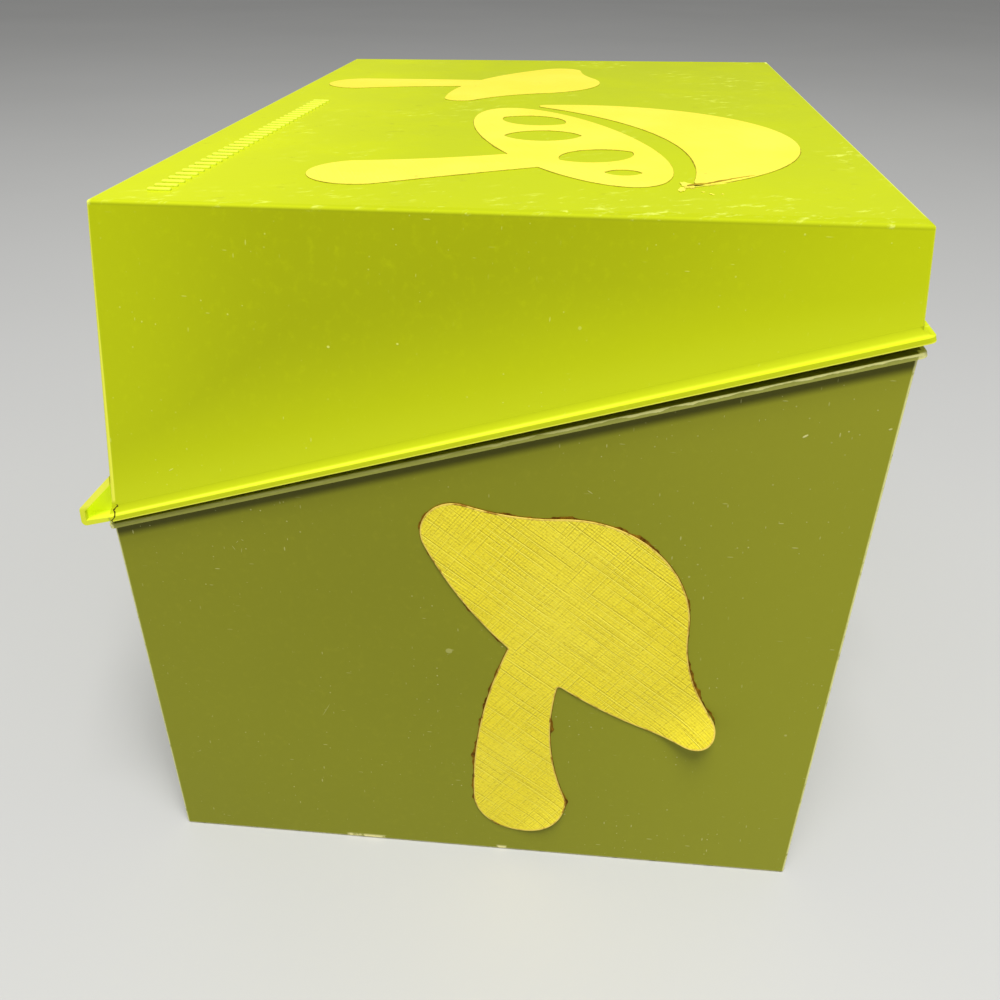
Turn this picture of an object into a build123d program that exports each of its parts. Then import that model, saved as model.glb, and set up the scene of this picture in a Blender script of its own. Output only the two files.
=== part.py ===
from build123d import *
import os
from math import atan2, cos, hypot, radians, sin, tan

# Recipe box for 5 by 3 inch cards, with its lid shut. Millimetres, +Z up.
# The origin is the centre of the base's underside. The pull lip is on the front, towards -Y,
# and the hinge is on the back. The decorated side wall faces +X.

# Cards and dividers
card_width = 127.0
card_height = 76.2
card_thickness = 0.3
card_gap = 0.06
cards_per_section = 6
section_count = 5
section_gap = 0.25
divider_thickness = 0.5
tab_height = 9.0
tab_gap = 2.4
tab_corner = 2.0
pack_lean = 6.0
pack_back_clearance = 0.4
floor_clearance = 0.1

# Walls that the base and the lid share
wall = 2.0
wall_overrun = 8.0
corner_radius = 0.4
inner_radius = 0.6
card_side_clearance = 3.75

# Base
base_depth = 92.0
base_draft = 1.2
back_rim_above_cards = 5.8
mouth_fall = 28.15
rim_reach = 0.6
rim_thickness = 0.7
rim_round = 0.25
rim_corner = 0.8
upstand_thickness = 1.1
upstand_height = 1.6

# Lid
lid_draft = 4.5
lid_headroom = 7.9
lid_top_fall = 1.0
lid_front_gap = 0.55
lid_back_gap = 1.1
flange_reach = 1.2
flange_face = 0.65
flange_cove = 1.4
flange_corner = 0.8
rabbet_clearance = 0.5
rabbet_headroom = 0.5

# Pull lip along the lid's front
lip_height = 5.85
lip_reach = 4.3
lip_nose_height = 2.5
lip_drop = 1.55
lip_wall = 0.7
lip_pocket_depth = 2.2
lip_pocket_bite = 0.1
lip_groove_depth = 2.0
lip_round = 0.6
lip_heel_share = 0.7

# Hinge
pin_radius = 1.0
pin_running_clearance = 0.06
pin_end_chamfer = 0.2
knuckle_wall = 1.6
knuckle_width = 8.0
knuckle_side_clearance = 0.3
ear_width = 5.0
ear_drop = 11.0
hinge_end_inset = 34.0
lid_open_angle = 105.0
stop_margin_angle = 1.5
heel_overlap = 0.3
heel_span_angle = 45.0
notch_clearance = 0.5

# Cut-out vinyl figures: mushrooms with a bell cap, and a large one with a crescent cap over its gills
figure_thickness = 0.4
crown_place = (-3.8, 0.6)
crown_radius = 15.5
left_shoulder_angle = 136.0
right_shoulder_angle = 39.7
left_tip_place = (-23.0, 0.4)
left_tip_radius = 4.4
right_tip_place = (20.1, -0.4)
right_tip_radius = 3.2
brim_drop = 8.5
crotch_round = 0.4
stem_root = 9.0
stem_length = 36.9
stem_neck = 9.6
stem_foot = 13.5
side_figure_place = (14.0, -28.1)
side_cap_tilt = -41.0
side_stem_bow = -9.0
side_stem_shift = -8.2
small_figure_place = (-28.2, -6.7)
small_figure_ratio = 0.94
small_cap_tilt = -21.0
small_stem_bow = -1.0
small_stem_shift = 1.0
large_figure_place = (27.0, 5.5)
large_figure_tilt = 22.0
large_cap_rise = 32.4
large_cap_lift = 5.0
large_cap_overhang = 1.5
large_cap_gap = 4.2
large_cap_tip_radius = 1.2
gill_length = 59.0
gill_width = 20.4
gill_slit_length = 11.2
gill_slit_width = 8.2
gill_slit_places = ((-0.285, 0.06), (-0.075, -0.07), (0.19, 0.04), (0.368, 0.015))
gill_slit_turns = (38.0, 71.0, 102.0, 66.0)
gill_slit_ratios = (1.0, 1.0, 1.0, 0.42)
large_stem_place = (10.0, 0.0)
large_stem_length = 37.0
large_stem_neck = 9.4
large_stem_foot = 13.6
large_stem_bow = 1.6
large_stem_shift = 1.9

# Levels that follow from the cards
lean = radians(pack_lean)
section_depth = divider_thickness + cards_per_section * (card_gap + card_thickness)
section_pitch = (section_depth + section_gap) / cos(lean)
section_foot_z = wall + floor_clearance + section_depth * sin(lean)
card_top_z = section_foot_z + card_height * cos(lean)
tab_top_z = card_top_z + tab_height * cos(lean)
back_rim_height = card_top_z + back_rim_above_cards
front_rim_height = back_rim_height - mouth_fall
lid_back_height = tab_top_z + lid_headroom + wall
lid_front_height = lid_back_height - lid_top_fall

# Mouth of the base, a plane that slants up from the front to the back
base_slope = tan(radians(base_draft))
lid_slope = tan(radians(lid_draft))
mouth_width = card_width + 2 * (card_side_clearance + wall)
mouth_front_y = -(base_depth / 2 + front_rim_height * base_slope)
mouth_back_y = base_depth / 2 + back_rim_height * base_slope
lid_mouth_front_z = front_rim_height + lid_front_gap
lid_mouth_back_z = back_rim_height + lid_back_gap


def slanted_plane(front, back):
    """Plane through a front and a back point (y, z), with its origin halfway and local y up the slope."""
    slope = atan2(back[1] - front[1], back[0] - front[0])
    middle = (0, (front[0] + back[0]) / 2, (front[1] + back[1]) / 2)
    return Plane(origin=middle, x_dir=(1, 0, 0), z_dir=(0, -sin(slope), cos(slope)))


rim_plane = slanted_plane((mouth_front_y, front_rim_height), (mouth_back_y, back_rim_height))
lid_mouth_plane = slanted_plane((mouth_front_y, lid_mouth_front_z), (mouth_back_y, lid_mouth_back_z))
rim_slope = atan2(mouth_fall, mouth_back_y - mouth_front_y)
mouth_length = hypot(mouth_fall, mouth_back_y - mouth_front_y)
lid_mouth_length = hypot(lid_mouth_back_z - lid_mouth_front_z, mouth_back_y - mouth_front_y)


def lid_front_y(z):
    """Outside of the lid's front wall at a height."""
    return mouth_front_y + (z - lid_mouth_front_z) * lid_slope


def lid_back_y(z):
    """Outside of the lid's back wall at a height."""
    return mouth_back_y - (z - lid_mouth_back_z) * lid_slope


lid_top_plane = slanted_plane(
    (lid_front_y(lid_front_height), lid_front_height),
    (lid_back_y(lid_back_height), lid_back_height),
)

# Hinge line, and the lower edge of the base's rim, which stops the heel of the open lid
knuckle_radius = pin_radius + knuckle_wall
hinge_y = mouth_back_y + rim_reach + knuckle_radius
hinge_z = back_rim_height + knuckle_radius
stop_y = mouth_back_y + rim_reach * cos(rim_slope) + rim_thickness * sin(rim_slope)
stop_z = back_rim_height + rim_reach * sin(rim_slope) - rim_thickness * cos(rim_slope)
heel_radius = hypot(stop_y - hinge_y, stop_z - hinge_z) + heel_overlap
heel_angle = atan2(stop_z - hinge_z, stop_y - hinge_y) + radians(lid_open_angle + stop_margin_angle)
ear_offset = (knuckle_width + ear_width) / 2 + knuckle_side_clearance
station_width = knuckle_width + 2 * (knuckle_side_clearance + ear_width)
hinge_half_spacing = mouth_width / 2 - hinge_end_inset
hinge_stations = (-hinge_half_spacing, hinge_half_spacing)

os.makedirs("parts", exist_ok=True)


def drafted_block(outline, mouth, draft_angle):
    """Prism of a side outline (y, z) as wide as the mouth, whose side walls lean in from the mouth plane."""
    with BuildPart() as block:
        with BuildSketch(Plane.YZ):
            with BuildLine():
                Polyline(*outline, close=True)
            make_face()
        extrude(amount=mouth_width / 2, both=True)
        draft(block.faces().filter_by(Axis.X), mouth, draft_angle)
    return block.part


def hollow_of(block):
    """Inside of a block whose walls all have the shared thickness, with eased corners."""
    with BuildPart() as hollow:
        add(block)
        offset(amount=-wall)
        fillet(hollow.edges(), inner_radius)
    return hollow.part


def around_hinge(angle):
    """Point (y, z) of the stop heel at an angle about the hinge line."""
    return (hinge_y + heel_radius * cos(angle), hinge_z + heel_radius * sin(angle))


# Outsides of both mouldings, with walls that run on past the mouth
base_block = drafted_block(
    [
        (-base_depth / 2, 0),
        (base_depth / 2, 0),
        (mouth_back_y + wall_overrun * base_slope, back_rim_height + wall_overrun),
        (mouth_front_y - wall_overrun * base_slope, front_rim_height + wall_overrun),
    ],
    rim_plane,
    -base_draft,
)
lid_block = drafted_block(
    [
        (lid_front_y(lid_mouth_front_z - wall_overrun), lid_mouth_front_z - wall_overrun),
        (lid_back_y(lid_mouth_back_z - wall_overrun), lid_mouth_back_z - wall_overrun),
        (lid_back_y(lid_back_height), lid_back_height),
        (lid_front_y(lid_front_height), lid_front_height),
    ],
    lid_mouth_plane,
    lid_draft,
)

# Base: tub with a thin rim flange, an upstand inside the rim, and two pairs of hinge ears
upstand_inset = wall - upstand_thickness
with BuildPart() as base:
    add(base_block)
    split(bisect_by=rim_plane, keep=Keep.BOTTOM)
    fillet(base.edges() - base.faces().filter_by(rim_plane).edges(), corner_radius)
    with BuildSketch(rim_plane):
        RectangleRounded(mouth_width + 2 * rim_reach, mouth_length + 2 * rim_reach, rim_corner)
    extrude(amount=-rim_thickness)
    fillet(base.faces().filter_by(rim_plane).sort_by(SortBy.AREA)[-1].edges(), rim_round)
    with BuildSketch(rim_plane):
        RectangleRounded(mouth_width - 2 * upstand_inset, mouth_length - 2 * upstand_inset, corner_radius)
    extrude(amount=upstand_height)
    for station in hinge_stations:
        for ear_x in (station - ear_offset, station + ear_offset):
            with BuildSketch(Plane.YZ.offset(ear_x)):
                with Locations((hinge_y, hinge_z)):
                    Circle(knuckle_radius)
                with BuildLine():
                    Polyline(
                        (hinge_y + knuckle_radius, hinge_z),
                        (hinge_y - knuckle_radius, hinge_z),
                        (hinge_y - knuckle_radius, back_rim_height),
                        (mouth_back_y - wall / 2, back_rim_height - rim_thickness),
                        (mouth_back_y - wall / 2, hinge_z - ear_drop),
                        close=True,
                    )
                make_face()
            extrude(amount=ear_width / 2, both=True)
    add(hollow_of(base_block), mode=Mode.SUBTRACT)
    with BuildSketch(Plane.YZ):
        with Locations((hinge_y, hinge_z)):
            Circle(pin_radius)
    extrude(amount=mouth_width / 2, both=True, mode=Mode.SUBTRACT)
base.part.label = "base"
export_step(base.part, "parts/base.step")

# Walls and top of the lid
with BuildPart() as lid_walls:
    add(lid_block)
    split(bisect_by=lid_mouth_plane, keep=Keep.TOP)
    fillet(lid_walls.edges() - lid_walls.faces().filter_by(lid_mouth_plane).edges(), corner_radius)

# Side profile of the pull lip, in front of the lid's front wall
lip_half_length = mouth_width / 2
lip_root_z = lid_mouth_front_z + lip_height
lip_nose_y = mouth_front_y - lip_reach
lip_low_z = lid_mouth_front_z - lip_drop
lip_heel_z = lid_mouth_front_z - lip_heel_share * lid_front_gap
with BuildSketch() as lip_profile:
    with BuildLine():
        Polyline(
            (lid_front_y(lip_root_z), lip_root_z),
            (lip_nose_y, lip_low_z + lip_nose_height),
            (lip_nose_y, lip_low_z),
            (mouth_front_y, lip_heel_z),
            close=True,
        )
    make_face()
with BuildSketch() as lip_pocket:
    with BuildLine():
        Polyline(
            (lid_front_y(lip_root_z) + lip_wall + lip_pocket_bite, lip_root_z + lip_wall),
            (lip_nose_y, lip_low_z + lip_nose_height),
            (lip_nose_y, lip_low_z),
            (mouth_front_y + lip_wall + lip_pocket_bite, lip_heel_z),
            close=True,
        )
    make_face()
    offset(amount=-lip_wall, kind=Kind.INTERSECTION, mode=Mode.REPLACE)
with BuildSketch() as lip_section:
    add(lip_profile.sketch)
    fillet(lip_section.vertices().group_by(Axis.X)[0], lip_round)
with BuildPart() as lip:
    with BuildSketch(Plane.YZ):
        add(lip_section.sketch)
    extrude(amount=lip_half_length, both=True)
    draft(lip.faces().filter_by(Axis.X), lid_mouth_plane, lid_draft)

# Lid: walls with a coved flange, a rabbet over the base's upstand, a pull lip and two knuckles
flange_height = flange_face + flange_cove
along_sides = Plane(lid_mouth_plane.origin, x_dir=lid_mouth_plane.x_dir, z_dir=-lid_mouth_plane.y_dir)
along_back = Plane(lid_mouth_plane.origin, x_dir=lid_mouth_plane.y_dir, z_dir=lid_mouth_plane.x_dir)
front_wall_plane = Plane(
    origin=(0, mouth_front_y, lid_mouth_front_z),
    x_dir=(1, 0, 0),
    z_dir=(0, cos(radians(lid_draft)), -sin(radians(lid_draft))),
)
rabbet_inset = upstand_inset - rabbet_clearance
groove_half_length = lip_half_length - lip_pocket_depth - lip_wall
groove_width = lip_reach - 2 * lip_wall
with BuildPart() as lid:
    with BuildSketch(lid_mouth_plane) as flange_outline:
        with Locations((0, flange_reach / 2)):
            Rectangle(mouth_width + 2 * flange_reach, lid_mouth_length + flange_reach)
        fillet(flange_outline.vertices(), flange_corner)
    extrude(amount=flange_height)
    with BuildSketch(along_sides):
        with Locations((mouth_width / 2 + flange_reach, flange_height), (-mouth_width / 2 - flange_reach, flange_height)):
            Circle(flange_cove)
    extrude(amount=lid_mouth_length, both=True, mode=Mode.SUBTRACT)
    with BuildSketch(along_back):
        with Locations((lid_mouth_length / 2 + flange_reach, flange_height)):
            Circle(flange_cove)
    extrude(amount=mouth_width, both=True, mode=Mode.SUBTRACT)
    with BuildSketch(lid_mouth_plane):
        with Locations([(station, lid_mouth_length / 2 + flange_reach) for station in hinge_stations]):
            Rectangle(station_width + 2 * notch_clearance, 2 * flange_reach)
    extrude(amount=flange_height, mode=Mode.SUBTRACT)
    split(bisect_by=front_wall_plane, keep=Keep.TOP)
    add(lid_walls.part)
    add(lip.part)
    for station in hinge_stations:
        with BuildSketch(Plane.YZ.offset(station)):
            with Locations((hinge_y, hinge_z)):
                Circle(knuckle_radius)
            with BuildLine():
                Polyline(
                    (hinge_y, hinge_z + knuckle_radius),
                    (mouth_back_y - wall / 2, hinge_z + knuckle_radius),
                    (mouth_back_y - wall / 2, lid_mouth_back_z),
                    (hinge_y, lid_mouth_back_z),
                    close=True,
                )
            make_face()
            with BuildLine():
                Polyline(
                    (hinge_y, hinge_z),
                    around_hinge(heel_angle),
                    around_hinge(heel_angle + radians(heel_span_angle) / 2),
                    around_hinge(heel_angle + radians(heel_span_angle)),
                    close=True,
                )
            make_face()
        extrude(amount=knuckle_width / 2, both=True)
    add(hollow_of(lid_block), mode=Mode.SUBTRACT)
    with BuildSketch(lid_mouth_plane):
        RectangleRounded(mouth_width - 2 * rabbet_inset, lid_mouth_length - 2 * rabbet_inset, corner_radius)
    extrude(amount=upstand_height + rabbet_headroom, mode=Mode.SUBTRACT)
    with BuildSketch(Plane.YZ):
        with Locations((lip_nose_y + lip_reach / 2, lip_low_z)):
            Rectangle(groove_width, 2 * lip_groove_depth)
    extrude(amount=groove_half_length, both=True, mode=Mode.SUBTRACT)
    with BuildSketch(Plane.YZ.offset(lip_half_length)):
        add(lip_pocket.sketch)
    extrude(amount=-lip_pocket_depth, mode=Mode.SUBTRACT)
    with BuildSketch(Plane.YZ.offset(-lip_half_length)):
        add(lip_pocket.sketch)
    extrude(amount=lip_pocket_depth, mode=Mode.SUBTRACT)
    with BuildSketch(Plane.YZ):
        with Locations((hinge_y, hinge_z)):
            Circle(pin_radius + pin_running_clearance)
    extrude(amount=mouth_width / 2, both=True, mode=Mode.SUBTRACT)
lid.part.label = "lid"
export_step(lid.part, "parts/lid.step")

# Hinge pins, pressed in the base's ears
for name, station in zip(("hinge_pin_left", "hinge_pin_right"), hinge_stations):
    with BuildPart() as hinge_pin:
        with BuildSketch(Plane.YZ.offset(station)):
            with Locations((hinge_y, hinge_z)):
                Circle(pin_radius)
        extrude(amount=station_width / 2, both=True)
        chamfer(hinge_pin.edges().filter_by(GeomType.CIRCLE), pin_end_chamfer)
    hinge_pin.part.label = name
    export_step(hinge_pin.part, f"parts/{name}.step")


def flare_end(crown, shoulder, tip, tip_radius):
    """Point of a round brim tip where the flare that leaves the crown's shoulder runs smoothly into it."""
    outward = (shoulder - crown).normalized()
    reach = shoulder - tip
    flare_radius = (reach.length**2 - tip_radius**2) / (2 * (tip_radius - reach.dot(outward)))
    flare_centre = shoulder + outward * flare_radius
    return tip + (flare_centre - tip).normalized() * tip_radius


def brim_feet(tips, radii):
    """Points of two round brim tips where one arc through the brim's lowest point runs smoothly into them."""
    low = Vector(0, -brim_drop)
    first, second = (tip - low for tip in tips)
    first_half, second_half = ((span.length**2 - radius**2) / 2 for span, radius in zip((first, second), radii))
    cross = first.X * second.Y - first.Y * second.X
    start = Vector(
        first_half * second.Y - second_half * first.Y,
        second_half * first.X - first_half * second.X,
    ) / cross
    growth = Vector(
        radii[0] * second.Y - radii[1] * first.Y,
        radii[1] * first.X - radii[0] * second.X,
    ) / cross
    along = start.dot(growth)
    room = 1 - growth.dot(growth)
    arc_radius = (along + hypot(along, room**0.5 * start.length)) / room
    arc_centre = low + start + growth * arc_radius
    return [tip + (tip - arc_centre).normalized() * radius for tip, radius in zip(tips, radii)]


def bell_cap(tilt):
    """Bell-shaped mushroom cap about the middle of its brim: a crown, two flares and round brim tips."""
    crown_centre = Vector(*crown_place)
    left_tip = Vector(*left_tip_place)
    right_tip = Vector(*right_tip_place)
    left_shoulder = crown_centre + Vector(crown_radius, 0).rotate(Axis.Z, left_shoulder_angle)
    right_shoulder = crown_centre + Vector(crown_radius, 0).rotate(Axis.Z, right_shoulder_angle)
    left_end = flare_end(crown_centre, left_shoulder, left_tip, left_tip_radius)
    right_end = flare_end(crown_centre, right_shoulder, right_tip, right_tip_radius)
    right_foot, left_foot = brim_feet((right_tip, left_tip), (right_tip_radius, left_tip_radius))
    with BuildSketch() as cap:
        with BuildLine():
            crown = ThreePointArc(left_shoulder, crown_centre + Vector(0, crown_radius), right_shoulder)
            TangentArc(right_shoulder, right_end, tangent=crown % 1)
            ThreePointArc(right_end, right_tip + Vector(right_tip_radius, 0), right_foot)
            ThreePointArc(right_foot, (0, -brim_drop), left_foot)
            ThreePointArc(left_foot, left_tip - Vector(left_tip_radius, 0), left_end)
            TangentArc(left_shoulder, left_end, tangent=-(crown % 0))
        make_face()
    return cap.sketch.rotate(Axis.Z, tilt)


def stem(root, length, neck, foot, bow, foot_shift):
    """Mushroom stem below the brim's middle: two bowed sides that start at the root, and a round foot."""
    foot_y = foot / 2 - length
    with BuildSketch() as outline:
        with BuildLine():
            left = ThreePointArc(
                (-neck / 2, root),
                (bow - neck / 2, foot_y / 2),
                (foot_shift - foot / 2, foot_y),
            )
            sole = ThreePointArc(left @ 1, (foot_shift, -length), (foot_shift + foot / 2, foot_y))
            right = ThreePointArc(sole @ 1, (bow + neck / 2, foot_y / 2), (neck / 2, root))
            Line(right @ 1, left @ 0)
        make_face()
    return outline.sketch


def bell_mushroom(cap_tilt, stem_bow, stem_shift):
    """Mushroom in one piece: a tilted bell cap on a bowed stem, with eased corners between them."""
    brim_middle = Vector(0, -brim_drop).rotate(Axis.Z, cap_tilt)
    with BuildSketch() as figure:
        add(bell_cap(cap_tilt))
        add(stem(stem_root, stem_length, stem_neck, stem_foot, stem_bow, stem_shift))
        fillet(figure.vertices().sort_by_distance(brim_middle)[:2], crotch_round)
    return figure.sketch


def vinyl_cut_out(name, plane, figure):
    """Thin sheet of a figure, stuck to a flat face."""
    with BuildPart() as cut_out:
        with BuildSketch(plane):
            add(figure)
        extrude(amount=figure_thickness)
    cut_out.part.label = name
    export_step(cut_out.part, f"parts/{name}.step")


# Cut-out on the base's side wall, placed from the middle of the rim's edge
side_lean = radians(base_draft)
side_plane = Plane(
    origin=rim_plane.from_local_coords((mouth_width / 2, 0, 0)),
    x_dir=(0, 1, 0),
    z_dir=(cos(side_lean), sin(side_lean) * sin(rim_slope), -sin(side_lean) * cos(rim_slope)),
)
with BuildSketch() as side_figure:
    with Locations(side_figure_place):
        add(bell_mushroom(side_cap_tilt, side_stem_bow, side_stem_shift))
vinyl_cut_out("side_mushroom", side_plane, side_figure.sketch)

# Small cut-out on the lid's far half
with BuildSketch() as small_shape:
    add(bell_mushroom(small_cap_tilt, small_stem_bow, small_stem_shift))
    scale(by=small_figure_ratio)
with BuildSketch() as small_figure:
    with Locations(small_figure_place):
        add(small_shape.sketch)
vinyl_cut_out("lid_small_mushroom", lid_top_plane, small_figure.sketch)

# Large two-piece cut-out on the lid: a crescent cap over a gill disc with turned slits, the last one
# smaller, and a stem
large_cap_half_span = gill_length / 2 + large_cap_overhang
large_cap_hollow = gill_width / 2 + large_cap_gap
with BuildSketch() as crescent:
    with BuildLine():
        dome = ThreePointArc(
            (-large_cap_half_span, large_cap_lift),
            (0, large_cap_rise),
            (large_cap_half_span, large_cap_lift),
        )
        ThreePointArc(dome @ 1, (0, large_cap_hollow), dome @ 0)
    make_face()
    fillet(crescent.vertices(), large_cap_tip_radius)


def gill_slit(ratio):
    """Pointed slit in the gill disc, at a ratio of the full size."""
    half_length = ratio * gill_slit_length / 2
    half_width = ratio * gill_slit_width / 2
    with BuildSketch() as slit:
        with BuildLine():
            upper = ThreePointArc((-half_length, 0), (0, half_width), (half_length, 0))
            ThreePointArc(upper @ 1, (0, -half_width), upper @ 0)
        make_face()
    return slit.sketch


with BuildSketch() as gills_and_stem:
    Ellipse(gill_length / 2, gill_width / 2)
    with Locations(large_stem_place):
        add(stem(0, large_stem_length, large_stem_neck, large_stem_foot, large_stem_bow, large_stem_shift))
    for (along, across), turn, ratio in zip(gill_slit_places, gill_slit_turns, gill_slit_ratios):
        with Locations(Location((along * gill_length, across * gill_width), turn)):
            add(gill_slit(ratio), mode=Mode.SUBTRACT)
for name, figure in (("lid_mushroom_cap", crescent.sketch), ("lid_mushroom_stem", gills_and_stem.sketch)):
    with BuildSketch() as placed_figure:
        with Locations(Location(large_figure_place, large_figure_tilt)):
            add(figure)
    vinyl_cut_out(name, lid_top_plane, placed_figure.sketch)

# Index, leaning on the base's back wall: each section is a tabbed divider with its cards behind it
back_wall_y = base_depth / 2 + card_top_z * base_slope - wall / cos(radians(base_draft))
last_foot_y = back_wall_y - pack_back_clearance - section_depth * cos(lean) - card_height * sin(lean)
tab_width = card_width / section_count - tab_gap


def section_plane(index, depth):
    """Plane at a depth behind a section's front face: local y runs up the leaning cards from their foot."""
    foot_y = last_foot_y - (section_count - 1 - index) * section_pitch
    front = Plane(origin=(0, foot_y, section_foot_z), x_dir=(1, 0, 0), z_dir=(0, -cos(lean), sin(lean)))
    return front.offset(-depth)


for index in range(section_count):
    tab_x = (index - (section_count - 1) / 2) * card_width / section_count
    with BuildPart() as divider:
        with BuildSketch(section_plane(index, 0)):
            with Locations((0, card_height / 2)):
                Rectangle(card_width, card_height)
            with BuildSketch(mode=Mode.PRIVATE) as tab:
                with Locations((tab_x, card_height)):
                    Rectangle(tab_width, 2 * tab_height)
                fillet(tab.vertices().group_by(Axis.Y)[-1], tab_corner)
            add(tab.sketch)
        extrude(amount=-divider_thickness)
    divider.part.label = f"index_divider_{index + 1}"
    export_step(divider.part, f"parts/index_divider_{index + 1}.step")

    with BuildPart() as cards:
        for card in range(cards_per_section):
            depth = divider_thickness + card_gap + card * (card_gap + card_thickness)
            with BuildSketch(section_plane(index, depth)):
                with Locations((0, card_height / 2)):
                    Rectangle(card_width, card_height)
            extrude(amount=-card_thickness)
    cards.part.label = f"recipe_cards_{index + 1}"
    export_step(cards.part, f"parts/recipe_cards_{index + 1}.step")
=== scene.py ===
"""Recipe box in moulded styrene with vinyl mushroom cut-outs: finishes, trim and studio."""
import logging
import math
from dataclasses import dataclass, replace
from enum import Enum

import bmesh
import bpy
from mathutils import Matrix, Vector, noise


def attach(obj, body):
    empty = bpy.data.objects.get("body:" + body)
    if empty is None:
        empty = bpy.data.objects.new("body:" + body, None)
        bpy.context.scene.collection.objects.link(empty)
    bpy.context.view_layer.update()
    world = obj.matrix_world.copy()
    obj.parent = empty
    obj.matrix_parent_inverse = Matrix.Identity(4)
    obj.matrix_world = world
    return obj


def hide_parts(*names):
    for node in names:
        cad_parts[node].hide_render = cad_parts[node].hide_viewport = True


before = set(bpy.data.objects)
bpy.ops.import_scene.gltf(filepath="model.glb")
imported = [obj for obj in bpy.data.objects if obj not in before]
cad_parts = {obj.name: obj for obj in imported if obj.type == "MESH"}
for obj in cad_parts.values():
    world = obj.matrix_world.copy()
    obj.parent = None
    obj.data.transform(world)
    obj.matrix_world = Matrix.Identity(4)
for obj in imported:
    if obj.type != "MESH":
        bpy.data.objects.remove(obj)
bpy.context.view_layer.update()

LOG = logging.getLogger("recipe_box")
MM = 0.001
WELD = 0.001 * MM
ENDLESS = 1.0 / WELD
FACING = 0.9
EDGE_ON = 0.5

Colour = tuple[float, float, float, float]
Operand = "Term | float"

BLACK: Colour = (0.0, 0.0, 0.0, 1.0)
WHITE: Colour = (1.0, 1.0, 1.0, 1.0)


def srgb(red: int, green: int, blue: int) -> Colour:
    """Turn a screen colour into the linear one that shaders take.

    Args:
        red: Red from 0 to 255.
        green: Green from 0 to 255.
        blue: Blue from 0 to 255.

    Returns:
        The linear colour, with full alpha.
    """
    def linear(channel: int) -> float:
        """Undo the screen curve of one channel."""
        share = channel / 255
        return share / 12.92 if share <= 0.04045 else ((share + 0.055) / 1.055) ** 2.4

    return (linear(red), linear(green), linear(blue), 1.0)


class Slot(Enum):
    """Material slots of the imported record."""

    LIME = "lime_plastic"
    VINYL = "yellow_vinyl"


class Body(Enum):
    """Bodies that carry new pieces."""

    BASE = "base"
    LID = "lid"


class Term:
    """A shader value that takes part in Python expressions."""

    def __init__(self, graph: "Graph", socket: bpy.types.NodeSocket) -> None:
        """Keep a socket and the graph that it belongs to."""
        self.graph = graph
        self.socket = socket

    def __add__(self, other: Operand) -> "Term":
        """Add a value."""
        return self.graph.math("ADD", self, other)

    def __radd__(self, other: Operand) -> "Term":
        """Add to a value."""
        return self.graph.math("ADD", other, self)

    def __sub__(self, other: Operand) -> "Term":
        """Take a value away."""
        return self.graph.math("SUBTRACT", self, other)

    def __rsub__(self, other: Operand) -> "Term":
        """Take this away from a value."""
        return self.graph.math("SUBTRACT", other, self)

    def __mul__(self, other: Operand) -> "Term":
        """Multiply by a value."""
        return self.graph.math("MULTIPLY", self, other)

    def __rmul__(self, other: Operand) -> "Term":
        """Multiply a value."""
        return self.graph.math("MULTIPLY", other, self)

    def __abs__(self) -> "Term":
        """Drop the sign."""
        return self.graph.math("ABSOLUTE", self)

    def fraction(self) -> "Term":
        """Keep what follows the decimal point."""
        return self.graph.math("FRACT", self)

    def sine(self) -> "Term":
        """Take the sine of radians."""
        return self.graph.math("SINE", self)

    def highest(self, other: Operand) -> "Term":
        """Keep the higher of two values."""
        return self.graph.math("MAXIMUM", self, other)

    def rise(self, low: float, high: float) -> "Term":
        """Go smoothly from 0 at low to 1 at high."""
        return self.graph.ramp(self, low, high, 0.0, 1.0)

    def fall(self, low: float, high: float) -> "Term":
        """Go smoothly from 1 at low to 0 at high."""
        return self.graph.ramp(self, low, high, 1.0, 0.0)

    def within(self, low: float, high: float, edge: float) -> "Term":
        """Give 1 between two values and 0 outside, over an edge.

        Args:
            low: Lower end of the band.
            high: Upper end of the band.
            edge: Width of the soft edge outside each end.

        Returns:
            The band's mask.
        """
        return self.rise(low - edge, low) * self.fall(high, high + edge)


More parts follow.
